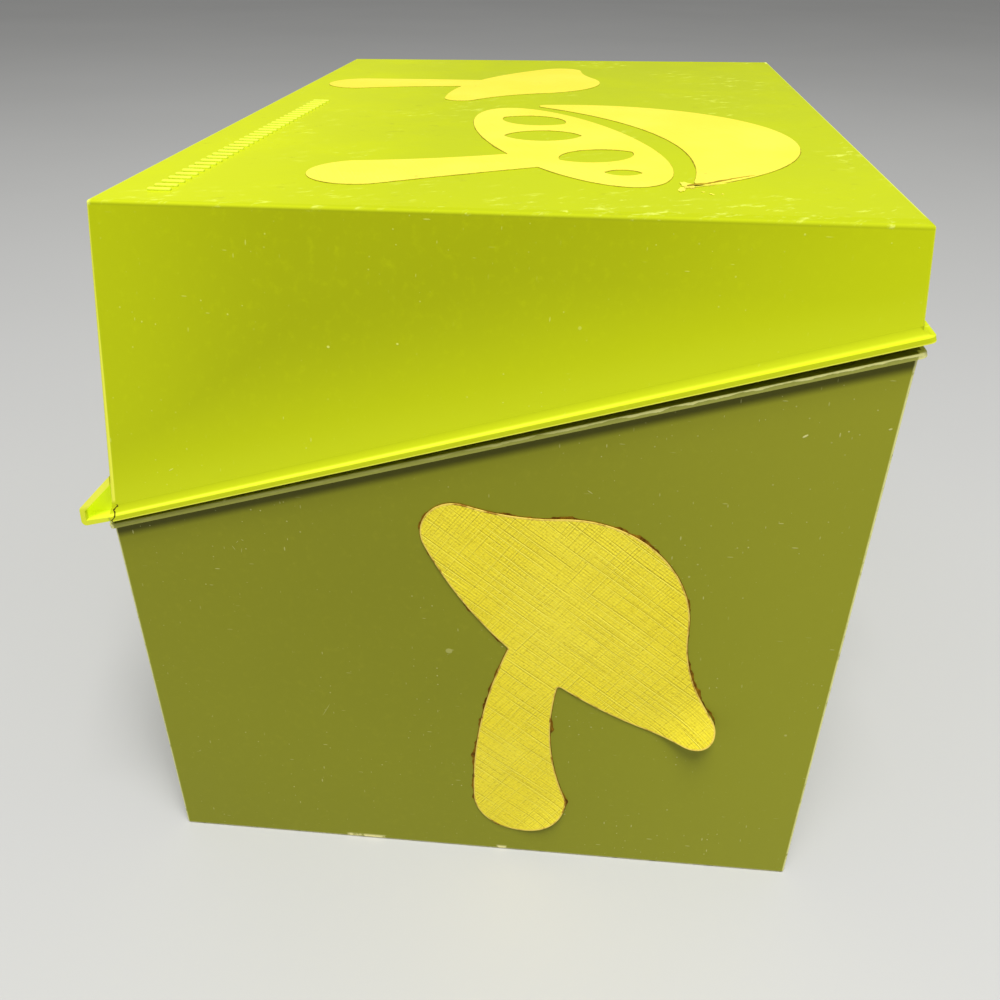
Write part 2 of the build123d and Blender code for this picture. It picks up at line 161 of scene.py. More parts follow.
class Graph:
    """Node tree of one material or sky, written as expressions in millimetres."""

    def __init__(self, owner: bpy.types.Material | bpy.types.World) -> None:
        """Start with no nodes.

        Args:
            owner: Material or sky that holds the nodes.
        """
        owner.use_nodes = True
        self.owner = owner
        self.tree = owner.node_tree
        self.tree.nodes.clear()

    @classmethod
    def of_material(cls, name: str) -> "Graph":
        """Start the nodes of a new material."""
        return cls(bpy.data.materials.new(name))

    def node(self, kind: str, settings: dict | None = None, sockets: dict | None = None) -> bpy.types.Node:
        """Add one node.

        Args:
            kind: Type of the node.
            settings: Properties of the node, set first.
            sockets: Values or links of its inputs, by name or number.

        Returns:
            The new node.
        """
        made = self.tree.nodes.new(kind)
        for key, value in (settings or {}).items():
            setattr(made, key, value)
        for key, value in (sockets or {}).items():
            if isinstance(value, Term):
                self.tree.links.new(value.socket, made.inputs[key])
            else:
                made.inputs[key].default_value = value
        return made

    def term(self, kind: str, output: str | int, settings: dict | None = None,
             sockets: dict | None = None) -> Term:
        """Add one node and take one of its outputs.

        Args:
            kind: Type of the node.
            output: Name or number of the output.
            settings: Properties of the node.
            sockets: Values or links of its inputs.

        Returns:
            The output as a term.
        """
        return Term(self, self.node(kind, settings, sockets).outputs[output])

    def math(self, operation: str, *operands: Operand) -> Term:
        """Add a Math node on the operands."""
        return self.term("ShaderNodeMath", 0, {"operation": operation}, dict(enumerate(operands)))

    def ramp(self, value: Term, low: float, high: float, start: float, end: float) -> Term:
        """Map a value smoothly between two levels.

        Args:
            value: The value.
            low: Value at which the start level ends.
            high: Value at which the end level begins.
            start: Level below low.
            end: Level above high.

        Returns:
            The mapped value.
        """
        return self.term("ShaderNodeMapRange", 0, {"interpolation_type": "SMOOTHSTEP"}, {
            "Value": value, "From Min": low, "From Max": high, "To Min": start, "To Max": end})

    def mix(self, factor: Operand, first: "Term | Colour", second: "Term | Colour") -> Term:
        """Mix two colours.

        Args:
            factor: Share of the second colour.
            first: Colour at 0.
            second: Colour at 1.

        Returns:
            The mixed colour.
        """
        return self.term("ShaderNodeMix", 2, {"data_type": "RGBA"}, {0: factor, 6: first, 7: second})

    def point(self) -> Term:
        """Give the piece's own place in millimetres."""
        place = self.term("ShaderNodeTexCoord", "Object")
        return self.term("ShaderNodeVectorMath", 0, {"operation": "SCALE"}, {0: place, "Scale": 1 / MM})

    def sheet_point(self, layer: str) -> Term:
        """Give the place on a flat sheet in millimetres, from its UV layer."""
        return self.term("ShaderNodeUVMap", 0, {"uv_map": layer})

    def axes(self, point: Term) -> tuple[Term, Term, Term]:
        """Split a point into its three values."""
        split = self.node("ShaderNodeSeparateXYZ", sockets={0: point})
        return tuple(Term(self, output) for output in split.outputs)

    def turned(self, point: Term, scale: tuple[float, float, float], degrees: float = 0.0,
               axis: int = 2) -> Term:
        """Stretch a point and turn it about an axis.

        Args:
            point: The point.
            scale: Stretch along each axis.
            degrees: The turn.
            axis: Number of the axis.

        Returns:
            The new point.
        """
        rotation = [0.0, 0.0, 0.0]
        rotation[axis] = math.radians(degrees)
        return self.term("ShaderNodeMapping", 0, None, {
            "Vector": point, "Rotation": rotation, "Scale": scale})

    def spread(self, point: Term) -> Term:
        """Lay a point out on a plane so that no face of a box is seen edge on.

        Args:
            point: The point.

        Returns:
            The flat point.
        """
        x, y, z = self.axes(point)
        return self.term("ShaderNodeCombineXYZ", 0, None, {0: y + x * 0.8, 1: z + x * 0.6})

    def noise(self, point: Term, scale: float, detail: float = 2.0, roughness: float = 0.5) -> Term:
        """Give a cloudy value about one half.

        Args:
            point: Where it is read.
            scale: Clouds to the millimetre.
            detail: Number of finer layers.
            roughness: Strength of the finer layers.

        Returns:
            The value.
        """
        return self.term("ShaderNodeTexNoise", "Fac", None, {
            "Vector": point, "Scale": scale, "Detail": detail, "Roughness": roughness})

    def specks(self, point: Term, spacing: float, radius: float, share: float) -> Term:
        """Scatter small spots of mixed size on a plane.

        Args:
            point: Flat point where they are read.
            spacing: Distance between neighbours.
            radius: Largest radius of a spot.
            share: Share of the places that hold one.

        Returns:
            A mask of the spots.
        """
        cells = self.node("ShaderNodeTexVoronoi", {"voronoi_dimensions": "2D"}, {
            "Vector": point, "Scale": 1 / spacing})
        drawn, size, _ = self.axes(Term(self, cells.outputs["Color"]))
        near = Term(self, cells.outputs["Distance"]) * spacing
        return (size * radius - near).rise(0.0, 0.4 * radius) * drawn.rise(1 - share, 1 - 0.9 * share)

    def lines(self, place: Term, spacing: float, width: float) -> Term:
        """Draw parallel lines at uneven distances.

        Args:
            place: Distance across the lines.
            spacing: Mean distance between neighbours.
            width: Width of a line.

        Returns:
            A mask of the lines.
        """
        settings = {"voronoi_dimensions": "1D", "feature": "DISTANCE_TO_EDGE"}
        cells = {"W": place * (1 / spacing), "Scale": 1.0}
        off = self.term("ShaderNodeTexVoronoi", "Distance", settings, cells)
        return (off * spacing).fall(0.2 * width, 0.7 * width)

    def bump(self, height: Term, depth: float, under: Term | None = None) -> Term:
        """Raise the surface by a height from 0 to 1.

        Args:
            height: The height.
            depth: Millimetres that a height of 1 stands for.
            under: Normal that it adds to.

        Returns:
            The new normal.
        """
        sockets = {"Height": height, "Distance": depth * MM, "Strength": 1.0}
        if under is not None:
            sockets["Normal"] = under
        return self.term("ShaderNodeBump", 0, None, sockets)

    def close(self, sockets: dict) -> bpy.types.Material:
        """Feed the surface shader.

        Args:
            sockets: Values or links of the surface shader.

        Returns:
            The finished material.
        """
        surface = self.term("ShaderNodeBsdfPrincipled", 0, None, sockets)
        self.node("ShaderNodeOutputMaterial", None, {"Surface": surface})
        return self.owner


@dataclass(frozen=True)
class Fade:
    """A soft step of a mask: where it starts, where it ends and how strong it gets."""

    low: float
    high: float
    share: float = 1.0

    def rise(self, value: Term) -> Term:
        """Go from nothing at low to the full share at high."""
        return value.graph.ramp(value, self.low, self.high, 0.0, self.share)

    def fall(self, value: Term) -> Term:
        """Go from the full share at low to nothing at high."""
        return value.graph.ramp(value, self.low, self.high, self.share, 0.0)


@dataclass(frozen=True)
class MouthPlane:
    """Slanted plane on which the lid meets the tub, in millimetres."""

    front_y: float = -47.17
    front_z: float = 55.81
    back_y: float = 47.76
    back_z: float = 83.96

    def above(self, y: Term, z: Term) -> Term:
        """Give the height of a shader point above the plane."""
        slope = math.atan2(self.back_z - self.front_z, self.back_y - self.front_y)
        return (z - self.front_z) * math.cos(slope) - (y - self.front_y) * math.sin(slope)


@dataclass(frozen=True)
class LidTop:
    """Nearly level plane of the lid's top, in millimetres."""

    front_y: float = -44.0
    front_z: float = 96.0
    slope: float = 0.011

    def height(self, y: Operand) -> Operand:
        """Give its height at a place along the lid."""
        return self.front_z + (y - self.front_y) * self.slope


@dataclass(frozen=True)
class Styrene:
    """Moulded styrene with soft gloss, dust, hairline marks and a faint mould texture."""

    name: str
    colour: Colour
    deep: Colour
    pale: Colour
    dust: Colour
    draft: float = 0.0
    half_width: float = 69.25
    gloss: float = 0.36
    shine: float = 0.16
    glow_strength: float = 0.0
    mouth: MouthPlane = MouthPlane()
    near_side: Fade = Fade(60.0, 62.0)
    cloud: Fade = Fade(0.25, 0.75)
    grain: Fade = Fade(0.5, 0.85, 0.3)
    flecks: tuple[tuple[float, ...], ...] = ()
    fleck_edge: Fade = Fade(0.35, 0.5)
    dustiness: float = 1.0
    dusty: Fade = Fade(0.42, 0.66, 0.85)
    dusty_least: float = 0.1
    crumb_share: float = 0.6
    mark_share: float = 0.6
    mark_dull: float = 0.3
    mark_height: float = 0.02
    smudge: Fade = Fade(0.4, 0.75, 0.1)
    skin_depth: float = 0.005
    wave_depth: float = 0.2

    @property
    def lean(self) -> float:
        """Give how far the walls lean for each millimetre of height."""
        return math.tan(math.radians(self.draft))

    def tint(self, graph: Graph, point: Term) -> Term:
        """Give the clean colour of the plastic.

        Args:
            graph: The material's nodes.
            point: Place on the piece.

        Returns:
            The colour.
        """
        cloud = graph.noise(point, scale=0.02, detail=2.0)
        grain = graph.noise(point, scale=0.9, detail=4.0, roughness=0.6)
        tone = graph.mix(self.cloud.rise(cloud), self.deep, self.colour)
        return graph.mix(self.grain.rise(grain), tone, self.pale)

    def wear(self, graph: Graph, point: Term, colour: Term) -> tuple[Term, Term]:
        """Add the marks that only this moulding has.

        Args:
            graph: The material's nodes.
            point: Place on the piece.
            colour: The clean colour.

        Returns:
            The worn colour, and a mask of the scraped places.
        """
        raise NotImplementedError

    def marks(self, graph: Graph, point: Term) -> Term:
        """Scatter dust and short hairline marks.

        Args:
            graph: The material's nodes.
            point: Place on the piece.

        Returns:
            A mask of the marks.
        """
        flat = graph.spread(point)
        dust = graph.specks(flat, spacing=1.5, radius=0.14, share=0.4)
        crumbs = graph.specks(flat, spacing=14.0, radius=0.26, share=0.4)
        lint = graph.specks(graph.turned(flat, (1.0, 0.3, 1.0), 35.0), spacing=1.1, radius=0.11, share=0.22)
        hair = graph.specks(graph.turned(flat, (0.18, 1.0, 1.0), -55.0), spacing=1.2, radius=0.09, share=0.2)
        patch = self.dusty.rise(graph.noise(point, scale=0.09, detail=3.0)) + self.dusty_least
        loose = (dust.highest(lint).highest(hair) * patch).highest(crumbs * self.crumb_share)
        return (loose * self.dustiness).highest(self.single_flecks(graph, point))

    def single_flecks(self, graph: Graph, point: Term) -> Operand:
        """Draw the flecks on the near side wall.

        Args:
            graph: The material's nodes.
            point: Place on the piece.

        Returns:
            A mask of the flecks.
        """
        x, _, _ = graph.axes(point)
        near = self.near_side.rise(x)
        found: Operand = 0.0
        for y, z, length, width, turn, strength in self.flecks:
            placed = graph.term("ShaderNodeMapping", 0, {"vector_type": "TEXTURE"}, {
                "Vector": point, "Location": (0.0, y, z), "Rotation": (math.radians(turn), 0.0, 0.0),
                "Scale": (ENDLESS, length, width)})
            off = graph.term("ShaderNodeVectorMath", "Value", {"operation": "LENGTH"}, {0: placed})
            found = (self.fleck_edge.fall(off) * near * strength).highest(found)
        return found

    def dulled(self, graph: Graph, point: Term) -> Operand:
        """Find the places that have lost their gloss."""
        return 0.0

    def glow(self, graph: Graph, point: Term) -> Term | Colour:
        """Give a painted glow, which stands in for light that passes through thin places."""
        return BLACK

    def build(self) -> bpy.types.Material:
        """Make the material.

        Returns:
            The finished material.
        """
        graph = Graph.of_material(self.name)
        point = graph.point()
        worn, scraped = self.wear(graph, point, self.tint(graph, point))
        marks = self.marks(graph, point)
        smudge = graph.noise(point, scale=0.08, detail=5.0, roughness=0.6)
        mould = graph.noise(point, scale=2.2, detail=3.0)
        wave = graph.noise(point, scale=0.03, detail=1.0)
        skin = graph.bump(mould, self.skin_depth, graph.bump(wave, self.wave_depth))
        dull = (scraped + marks) * self.mark_dull + self.dulled(graph, point)
        return graph.close({
            "Base Color": graph.mix(marks * self.mark_share, worn, self.dust),
            "Roughness": self.gloss + self.smudge.rise(smudge) + dull,
            "Normal": graph.bump(marks.highest(scraped), self.mark_height, skin),
            "Specular IOR Level": self.shine,
            "Emission Color": self.glow(graph, point),
            "Emission Strength": self.glow_strength,
        })


@dataclass(frozen=True)
class LidStyrene(Styrene):
    """Lid moulding with painted light: lighter towards its mouth, its ends and on its top, with painted
    highlights and painted shade on its flange and edges, a scuffed top and a cracked flange.
    """

    name: str = "lime_styrene"
    colour: Colour = srgb(164, 172, 9)
    deep: Colour = srgb(159, 167, 8)
    pale: Colour = srgb(191, 202, 13)
    dust: Colour = srgb(228, 236, 120)
    crack: Colour = srgb(60, 48, 6)
    smear: Colour = srgb(150, 152, 26)
    # Painted light: bright is the painted highlight colour, top and sunlit paint the light on the top, cove
    # paints shade in the flange's cove and on the top's edges, and lit is the painted glow of the lip.
    bright: Colour = srgb(240, 240, 84)
    top: Colour = srgb(179, 190, 12)
    sunlit: Colour = srgb(193, 203, 17)
    cove: Colour = srgb(150, 160, 9)
    lit: Colour = srgb(214, 240, 18)
    draft: float = 4.5
    shine: float = 0.1
    glow_strength: float = 0.42
    dustiness: float = 0.7
    flecks: tuple[tuple[float, ...], ...] = (
        (-17.3, 80.7, 0.4, 0.34, 0.0, 1.0), (-9.2, 81.5, 0.34, 0.28, 0.0, 0.9),
        (-38.3, 63.8, 0.8, 0.16, 30.0, 0.8))
    mouth: MouthPlane = MouthPlane(front_z=56.36, back_z=85.06)
    top_plane: LidTop = LidTop()
    top_side: Fade = Fade(0.1, 0.4)
    top_flat: Fade = Fade(0.0, 0.3)
    # Painted light: lighter towards the front of the top, by both ends and by the mouth, with painted
    # highlights near the mouth and on the lip's front and a painted glow at the lip's thin ends.
    front_lit: Fade = Fade(-42.0, -6.0)
    front_pale: Fade = Fade(-48.0, -18.0, 0.6)
    back_pale: Fade = Fade(2.0, 60.0, 0.9)
    back_slant: float = 0.8
    mouth_pale: Fade = Fade(0.0, 20.0)
    mouth_glance: Fade = Fade(1.5, 7.0, 0.05)
    lip_glance: Fade = Fade(-47.95, -47.35, 0.35)
    lip_thin: Fade = Fade(-47.55, -47.35)
    lip_end: tuple[float, float, float] = (66.8, 68.2, 0.6)
    # Painted shade in the flange's cove and a painted highlight on its ridge, weaker towards the back.
    step_from: Fade = Fade(-47.35, -47.25)
    step_height: Fade = Fade(0.6, 0.75)
    cove_height: Fade = Fade(1.58, 1.66)
    cove_reach: Fade = Fade(0.35, 0.75)
    cove_share: float = 0.5
    cove_dull: float = 0.5
    ridge_reach: Fade = Fade(0.5, 0.8)
    ridge_share: float = 0.45
    ridge_loss: Fade = Fade(-10.0, 46.0, 0.3)
    # Painted highlight on the upright corners.
    corner_side: Fade = Fade(-0.42, -0.16)
    corner_front: Fade = Fade(-0.15, 0.0)
    corner_back: Fade = Fade(-0.24, -0.08, 0.7)
    corner_from: Fade = Fade(1.8, 2.4)
    corner_wide: Fade = Fade(3.0, 38.0, 0.35)
    corner_least: float = 0.2
    corner_share: float = 0.75
    # The top's rounded edges: painted shade, and less gloss.
    edge_side: Fade = Fade(65.6, 66.0)
    edge_front: Fade = Fade(-43.9, -43.5)
    edge_back: Fade = Fade(46.35, 46.75)
    edge_depth: Fade = Fade(0.4, 0.6)
    edge_share: float = 0.33
    edge_dull: float = 0.4
    # Painted highlight on the top's front and back edges.
    front_end: Fade = Fade(-43.9, -43.4, 0.6)
    far_end: Fade = Fade(46.0, 46.3, 0.85)
    far_across: Fade = Fade(64.0, 66.0)
    edge_breakup: Fade = Fade(0.62, 0.74)
    rub_share: float = 0.5
    scuff_streak: Fade = Fade(0.54, 0.66)
    scuff_patch: Fade = Fade(0.5, 0.68)
    scuff_near: Fade = Fade(48.0, 62.0, 0.14)
    scuff_share: float = 0.42
    smears: Fade = Fade(0.6, 0.72, 0.25)
    # A pale line along the flange's lower edge.
    lower_edge: Fade = Fade(69.25, 69.9, 0.6)
    lower_band: tuple[float, float, float] = (-0.05, 0.1, 0.06)
    crack_y: float = -46.65
    crack_rate: float = 0.9
    crack_swing: float = 1.1
    crack_line: Fade = Fade(0.064, 0.16)
    crack_side: Fade = Fade(66.0, 66.5)
    crack_top: Fade = Fade(58.2, 58.5)

    def tint(self, graph: Graph, point: Term) -> Term:
        """Give the colour with painted light: lighter by the mouth, towards the ends and on the top, with
        painted highlights and painted shade on the flange and the top's edges.

        Args:
            graph: The material's nodes.
            point: Place on the lid.

        Returns:
            The colour.
        """
        x, y, z = graph.axes(point)
        above = self.mouth.above(y, z)
        depth = self.depth(y, z)
        # Painted light: lighter by the mouth and towards both ends.
        ends = self.front_pale.fall(y).highest(self.back_pale.rise(y + depth * self.back_slant))
        walls = graph.mix(self.mouth_pale.fall(above).highest(ends), super().tint(graph, point), self.pale)
        # Painted highlights near the mouth and on the lip's front.
        glance = self.mouth_glance.fall(above).highest(self.lip_glance.fall(y))
        lifted = graph.mix(glance, walls, self.bright)
        # Painted shade in the flange's cove and a painted highlight on its ridge.
        sunk, ridge = self.flange(x, y, z)
        coved = graph.mix(sunk * self.cove_share, lifted, self.cove)
        ridged = graph.mix(ridge * (self.ridge_share - self.ridge_loss.rise(y)), coved, self.bright)
        # Painted light on the top, lighter towards the front.
        topped = graph.mix(self.top_side.fall(depth), ridged,
                           graph.mix(self.front_lit.fall(y), self.top, self.sunlit))
        # Painted shade on the top's rounded edges.
        return graph.mix(self.rounded(x, y, z) * self.edge_share, topped, self.cove)

    def depth(self, y: Term, z: Term) -> Term:
        """Give the distance below the lid's top."""
        return self.top_plane.height(y) - z

    def flange(self, x: Term, y: Term, z: Term) -> tuple[Term, Term]:
        """Find the flange along the mouth, whose cove gets painted shade and whose ridge gets a painted
        highlight.

        Args:
            x: Place across the lid.
            y: Place along the lid.
            z: Height.

        Returns:
            Masks of its cove and its ridge.
        """
        above = self.mouth.above(y, z)
        outside = abs(x) + above * self.lean - self.half_width
        step = self.step_height.rise(above) * self.step_from.rise(y)
        sunk = self.cove_height.fall(above) * self.cove_reach.fall(outside)
        return sunk * step, self.ridge_reach.rise(outside) * step

    def corners(self, x: Term, y: Term, z: Term) -> Term:
        """Find the upright corners, which get a painted highlight.

        Args:
            x: Place across the lid.
            y: Place along the lid.
            z: Height.

        Returns:
            A mask of the corners.
        """
        above = self.mouth.above(y, z)
        side = self.corner_side.rise(abs(x) + above * self.lean - self.half_width)
        front = (z - self.mouth.front_z) * self.lean - y + self.mouth.front_y
        back = (z - self.mouth.back_z) * self.lean + y - self.mouth.back_y
        wide = self.corner_wide.fall(above) + self.corner_least
        found = self.corner_front.rise(front + wide).highest(self.corner_back.rise(back))
        return side * found * self.corner_from.rise(above)

    def rounded(self, x: Term, y: Term, z: Term) -> Term:
        """Find the edges of the top.

        Args:
            x: Place across the lid.
            y: Place along the lid.
            z: Height.

        Returns:
            A mask of the edges.
        """
        ends = self.edge_front.fall(y).highest(self.edge_back.rise(y))
        return self.edge_depth.fall(self.depth(y, z)) * self.edge_side.rise(abs(x)).highest(ends)

    def dulled(self, graph: Graph, point: Term) -> Term:
        """Dull the edges of the top and the flange's cove.

        Args:
            graph: The material's nodes.
            point: Place on the lid.

        Returns:
            What is added to the roughness.
        """
        x, y, z = graph.axes(point)
        sunk, _ = self.flange(x, y, z)
        return (self.rounded(x, y, z) * self.edge_dull).highest(sunk * self.cove_dull)

    def glow(self, graph: Graph, point: Term) -> Term:
        """Paint a glow on the thin ends of the pull lip.

        Args:
            graph: The material's nodes.
            point: Place on the lid.

        Returns:
            The colour of the painted glow.
        """
        x, y, _ = graph.axes(point)
        thin = self.lip_thin.fall(y) * abs(x).within(*self.lip_end)
        return graph.mix(thin, BLACK, self.lit)

    def cracked(self, graph: Graph, point: Term) -> Term:
        """Find the jagged crack in the flange at the near front corner.

        Args:
            graph: The material's nodes.
            point: Place on the lid.

        Returns:
            A mask of the crack.
        """
        x, y, z = graph.axes(point)
        waves = (z * self.crack_rate + graph.noise(point, scale=0.8, detail=2.0)).fraction()
        off = abs(y - self.crack_y - abs(waves - 0.5) * self.crack_swing)
        return self.crack_line.fall(off) * self.crack_side.rise(x) * self.crack_top.fall(z)

    def wear(self, graph: Graph, point: Term, colour: Term) -> tuple[Term, Term]:
        """Rub the edges, scuff the top, crack the flange, paint highlights on the upright corners and the
        top's front and back edges, and draw a pale line along the flange's lower edge.

        Args:
            graph: The material's nodes.
            point: Place on the lid.
            colour: The clean colour.

        Returns:
            The worn colour, and a mask of the scraped places.
        """
        x, y, z = graph.axes(point)
        edge = self.rounded(x, y, z)
        # Painted highlight on the top's front and back edges.
        ends = edge * self.front_end.fall(y).highest(self.far_end.rise(y) * self.far_across.fall(x))
        pale_edges = edge * self.edge_breakup.rise(graph.noise(point, scale=0.5, detail=5.0, roughness=0.7))
        top = self.top_flat.fall(self.depth(y, z))
        flat = graph.turned(graph.spread(point), (0.6, 1.3, 1.0), 25.0)
        streaks = graph.noise(flat, scale=0.6, detail=6.0, roughness=0.72)
        patch = self.scuff_patch.rise(graph.noise(point, scale=0.05, detail=2.0) + self.scuff_near.rise(x))
        scuff = top * self.scuff_streak.rise(streaks) * patch
        smeared = top * self.smears.rise(graph.noise(point, scale=0.35, detail=5.0, roughness=0.7))
        smudged = graph.mix(smeared, colour, self.smear)
        lower = self.mouth.above(y, z).within(*self.lower_band) * self.lower_edge.rise(x)
        # Painted highlight on the upright corners, and a pale line along the flange's lower edge.
        edged = graph.mix((self.corners(x, y, z) * self.corner_share).highest(lower), smudged, self.bright)
        # Worn edges and scuffs, and the painted highlight on the top's front and back edges, all in the dust
        # colour.
        pale = (pale_edges * self.rub_share).highest(scuff * self.scuff_share).highest(ends)
        worn = graph.mix(self.cracked(graph, point), graph.mix(pale, edged, self.dust), self.crack)
        return worn, pale_edges.highest(scuff)


@dataclass(frozen=True)
class TubStyrene(Styrene):
    """Tub moulding, with a ragged pale rim, worn foot edges and a chipped foot, and painted light: lighter
    towards the back and on the rim's face, painted highlights on the upright corners and the rim's back
    corners, and painted shade under the rim and in the gap below the lid's flange.
    """

    name: str = "olive_styrene"
    colour: Colour = srgb(134, 136, 26)
    deep: Colour = srgb(129, 131, 25)
    pale: Colour = srgb(148, 150, 35)
    dust: Colour = srgb(204, 202, 130)
    # The rim's face colour is painted light, the gap colour painted shade below the lid's flange and the
    # shade colour a painted shadow under the rim; the pale colour of the flash and the worn foot edges also
    # paints highlights on the upright corners and the rim's back corners.
    rim_tone: Colour = srgb(168, 170, 78)
    gap: Colour = srgb(118, 120, 14)
    shade: Colour = srgb(66, 65, 6)
    scrape_and_highlight: Colour = srgb(236, 234, 156)
    chip: Colour = srgb(242, 234, 166)
    draft: float = 1.2
    half_depth: float = 46.0
    flecks: tuple[tuple[float, ...], ...] = (
        (-3.9, 38.3, 1.05, 0.95, 0.0, 0.6), (37.4, 73.1, 0.8, 0.3, 35.0, 1.6),
        (46.5, 74.5, 0.5, 0.24, 20.0, 1.2), (13.6, 64.2, 0.9, 0.14, -35.0, 0.8),
        (-21.7, 26.0, 3.0, 0.12, 62.0, 0.5), (-31.0, 53.9, 0.5, 0.1, 50.0, 0.7),
        (-30.3, 54.2, 0.4, 0.1, -30.0, 0.7), (-31.6, 52.9, 0.9, 0.1, -60.0, 0.6),
        (-30.6, 52.6, 0.8, 0.1, 80.0, 0.6))
    # Lighter towards the back: painted light.
    back_pale: Fade = Fade(-10.0, 50.0, 0.7)
    # Pale upright corners: a painted highlight; pale foot edges: wear.
    edge_line: Fade = Fade(-0.42, -0.2)
    foot_line: Fade = Fade(0.2, 0.42)
    # Painted light on the rim's face, and a painted shadow under the rim.
    rim_face: Fade = Fade(-0.77, -0.72)
    rim_share: float = 0.85
    rim_shade: Fade = Fade(-2.72, -1.52, 0.75)
    # Painted highlight on the rim's back corners.
    rim_corner: Fade = Fade(66.0, 67.0)
    rim_end: Fade = Fade(47.75, 47.85, 0.8)
    # Painted shade in the gap below the lid's flange.
    gap_from: Fade = Fade(-0.12, -0.02, 0.9)
    flash_band: tuple[float, float, float] = (-0.28, 0.0, 0.05)
    flash_run: Fade = Fade(-12.0, 30.0, 0.85)
    flash_least: float = 0.15
    flash_top: Fade = Fade(-0.1, -0.03)
    flash_share: float = 0.9
    edge_breakup: Fade = Fade(0.25, 0.5, 0.85)
    foot_chips: tuple[tuple[float, float], ...] = ((-20.2, -14.8), (3.2, 3.8))
    chip_soft: float = 1.2
    chip_share: float = 0.5
    chip_ragged: Fade = Fade(0.84, 1.04)
    chip_height: Fade = Fade(0.4, 1.0)

    def tint(self, graph: Graph, point: Term) -> Term:
        """Give the colour, with painted light that makes it lighter towards the back."""
        _, y, _ = graph.axes(point)
        return graph.mix(self.back_pale.rise(y), super().tint(graph, point), self.pale)

    def edges(self, x: Term, y: Term, z: Term) -> Term:
        """Find the upright corners, which get a painted highlight, and the foot's edges, which get wear.

        Args:
            x: Place across the tub.
            y: Place along the tub.
            z: Height.

        Returns:
            A mask of the edges.
        """
        side = self.edge_line.rise(abs(x) - self.mouth.above(y, z) * self.lean - self.half_width)
        end = self.edge_line.rise(abs(y) - z * self.lean - self.half_depth)
        return (side * end).highest(side.highest(end) * self.foot_line.fall(z))

    def flashed_and_highlit(self, graph: Graph, point: Term) -> Term:
        """Find the pale moulding flash along the rim, and the painted highlight at its back corners.

        Args:
            graph: The material's nodes.
            point: Place on the tub.

        Returns:
            A mask of the flash and the painted highlight.
        """
        x, y, z = graph.axes(point)
        above = self.mouth.above(y, z)
        wander = graph.noise(graph.turned(point, (1.0, 0.5, 0.5)), scale=0.6, detail=4.0, roughness=0.6)
        run = self.flash_run.rise(y) + self.flash_least
        line = (above + (wander - 0.5)).within(*self.flash_band) * run * self.flash_top.fall(above)
        # Painted highlight on the rim's back corners.
        corner = self.rim_corner.rise(abs(x)) * self.rim_end.rise(y)
        return line.highest(self.rim_face.rise(above) * corner)

    def chipped(self, x: Term, y: Term, z: Term, ragged: Term) -> Term:
        """Find the chips along the near edge of the foot.

        Args:
            x: Place across the tub.
            y: Place along the tub.
            z: Height.
            ragged: Cloudy value that breaks their outline.

        Returns:
            A mask of the chips.
        """
        places: Operand = 0.0
        for low, high in self.foot_chips:
            places = y.within(low, high, self.chip_soft).highest(places)
        broken = self.chip_ragged.rise(places * self.chip_share + ragged)
        return self.chip_height.fall(z) * self.near_side.rise(x) * broken

    def wear(self, graph: Graph, point: Term, colour: Term) -> tuple[Term, Term]:
        """Scrape the rim and the foot's edges, chip the foot, and paint highlights on the upright corners and
        the rim's back corners, light on the rim's face, a shadow under the rim and shade in the gap below the
        lid's flange.

        Args:
            graph: The material's nodes.
            point: Place on the tub.
            colour: The clean colour.

        Returns:
            The worn colour, and a mask of the scraped places.
        """
        x, y, z = graph.axes(point)
        above = self.mouth.above(y, z)
        flash_and_highlight = self.flashed_and_highlit(graph, point)
        ragged = graph.noise(point, scale=0.7, detail=4.0, roughness=0.7)
        chipped = self.chipped(x, y, z, ragged)
        # Pale upright corners: a painted highlight; pale foot edges: wear.
        pale_edges = self.edges(x, y, z) * self.edge_breakup.rise(ragged)
        # Painted shadow under the rim, painted light on the rim's face and painted shade in the gap below the
        # lid's flange.
        shaded = graph.mix(self.rim_shade.rise(above), colour, self.shade)
        faced = graph.mix(self.rim_face.rise(above) * self.rim_share, shaded, self.rim_tone)
        toned = graph.mix(self.gap_from.rise(above), faced, self.gap)
        # Flash and worn foot edges, with painted highlights on the upright corners and the rim's back
        # corners.
        scratched = graph.mix((flash_and_highlight * self.flash_share).highest(pale_edges), toned, self.scrape_and_highlight)
        return graph.mix(chipped, scratched, self.chip), flash_and_highlight.highest(chipped)


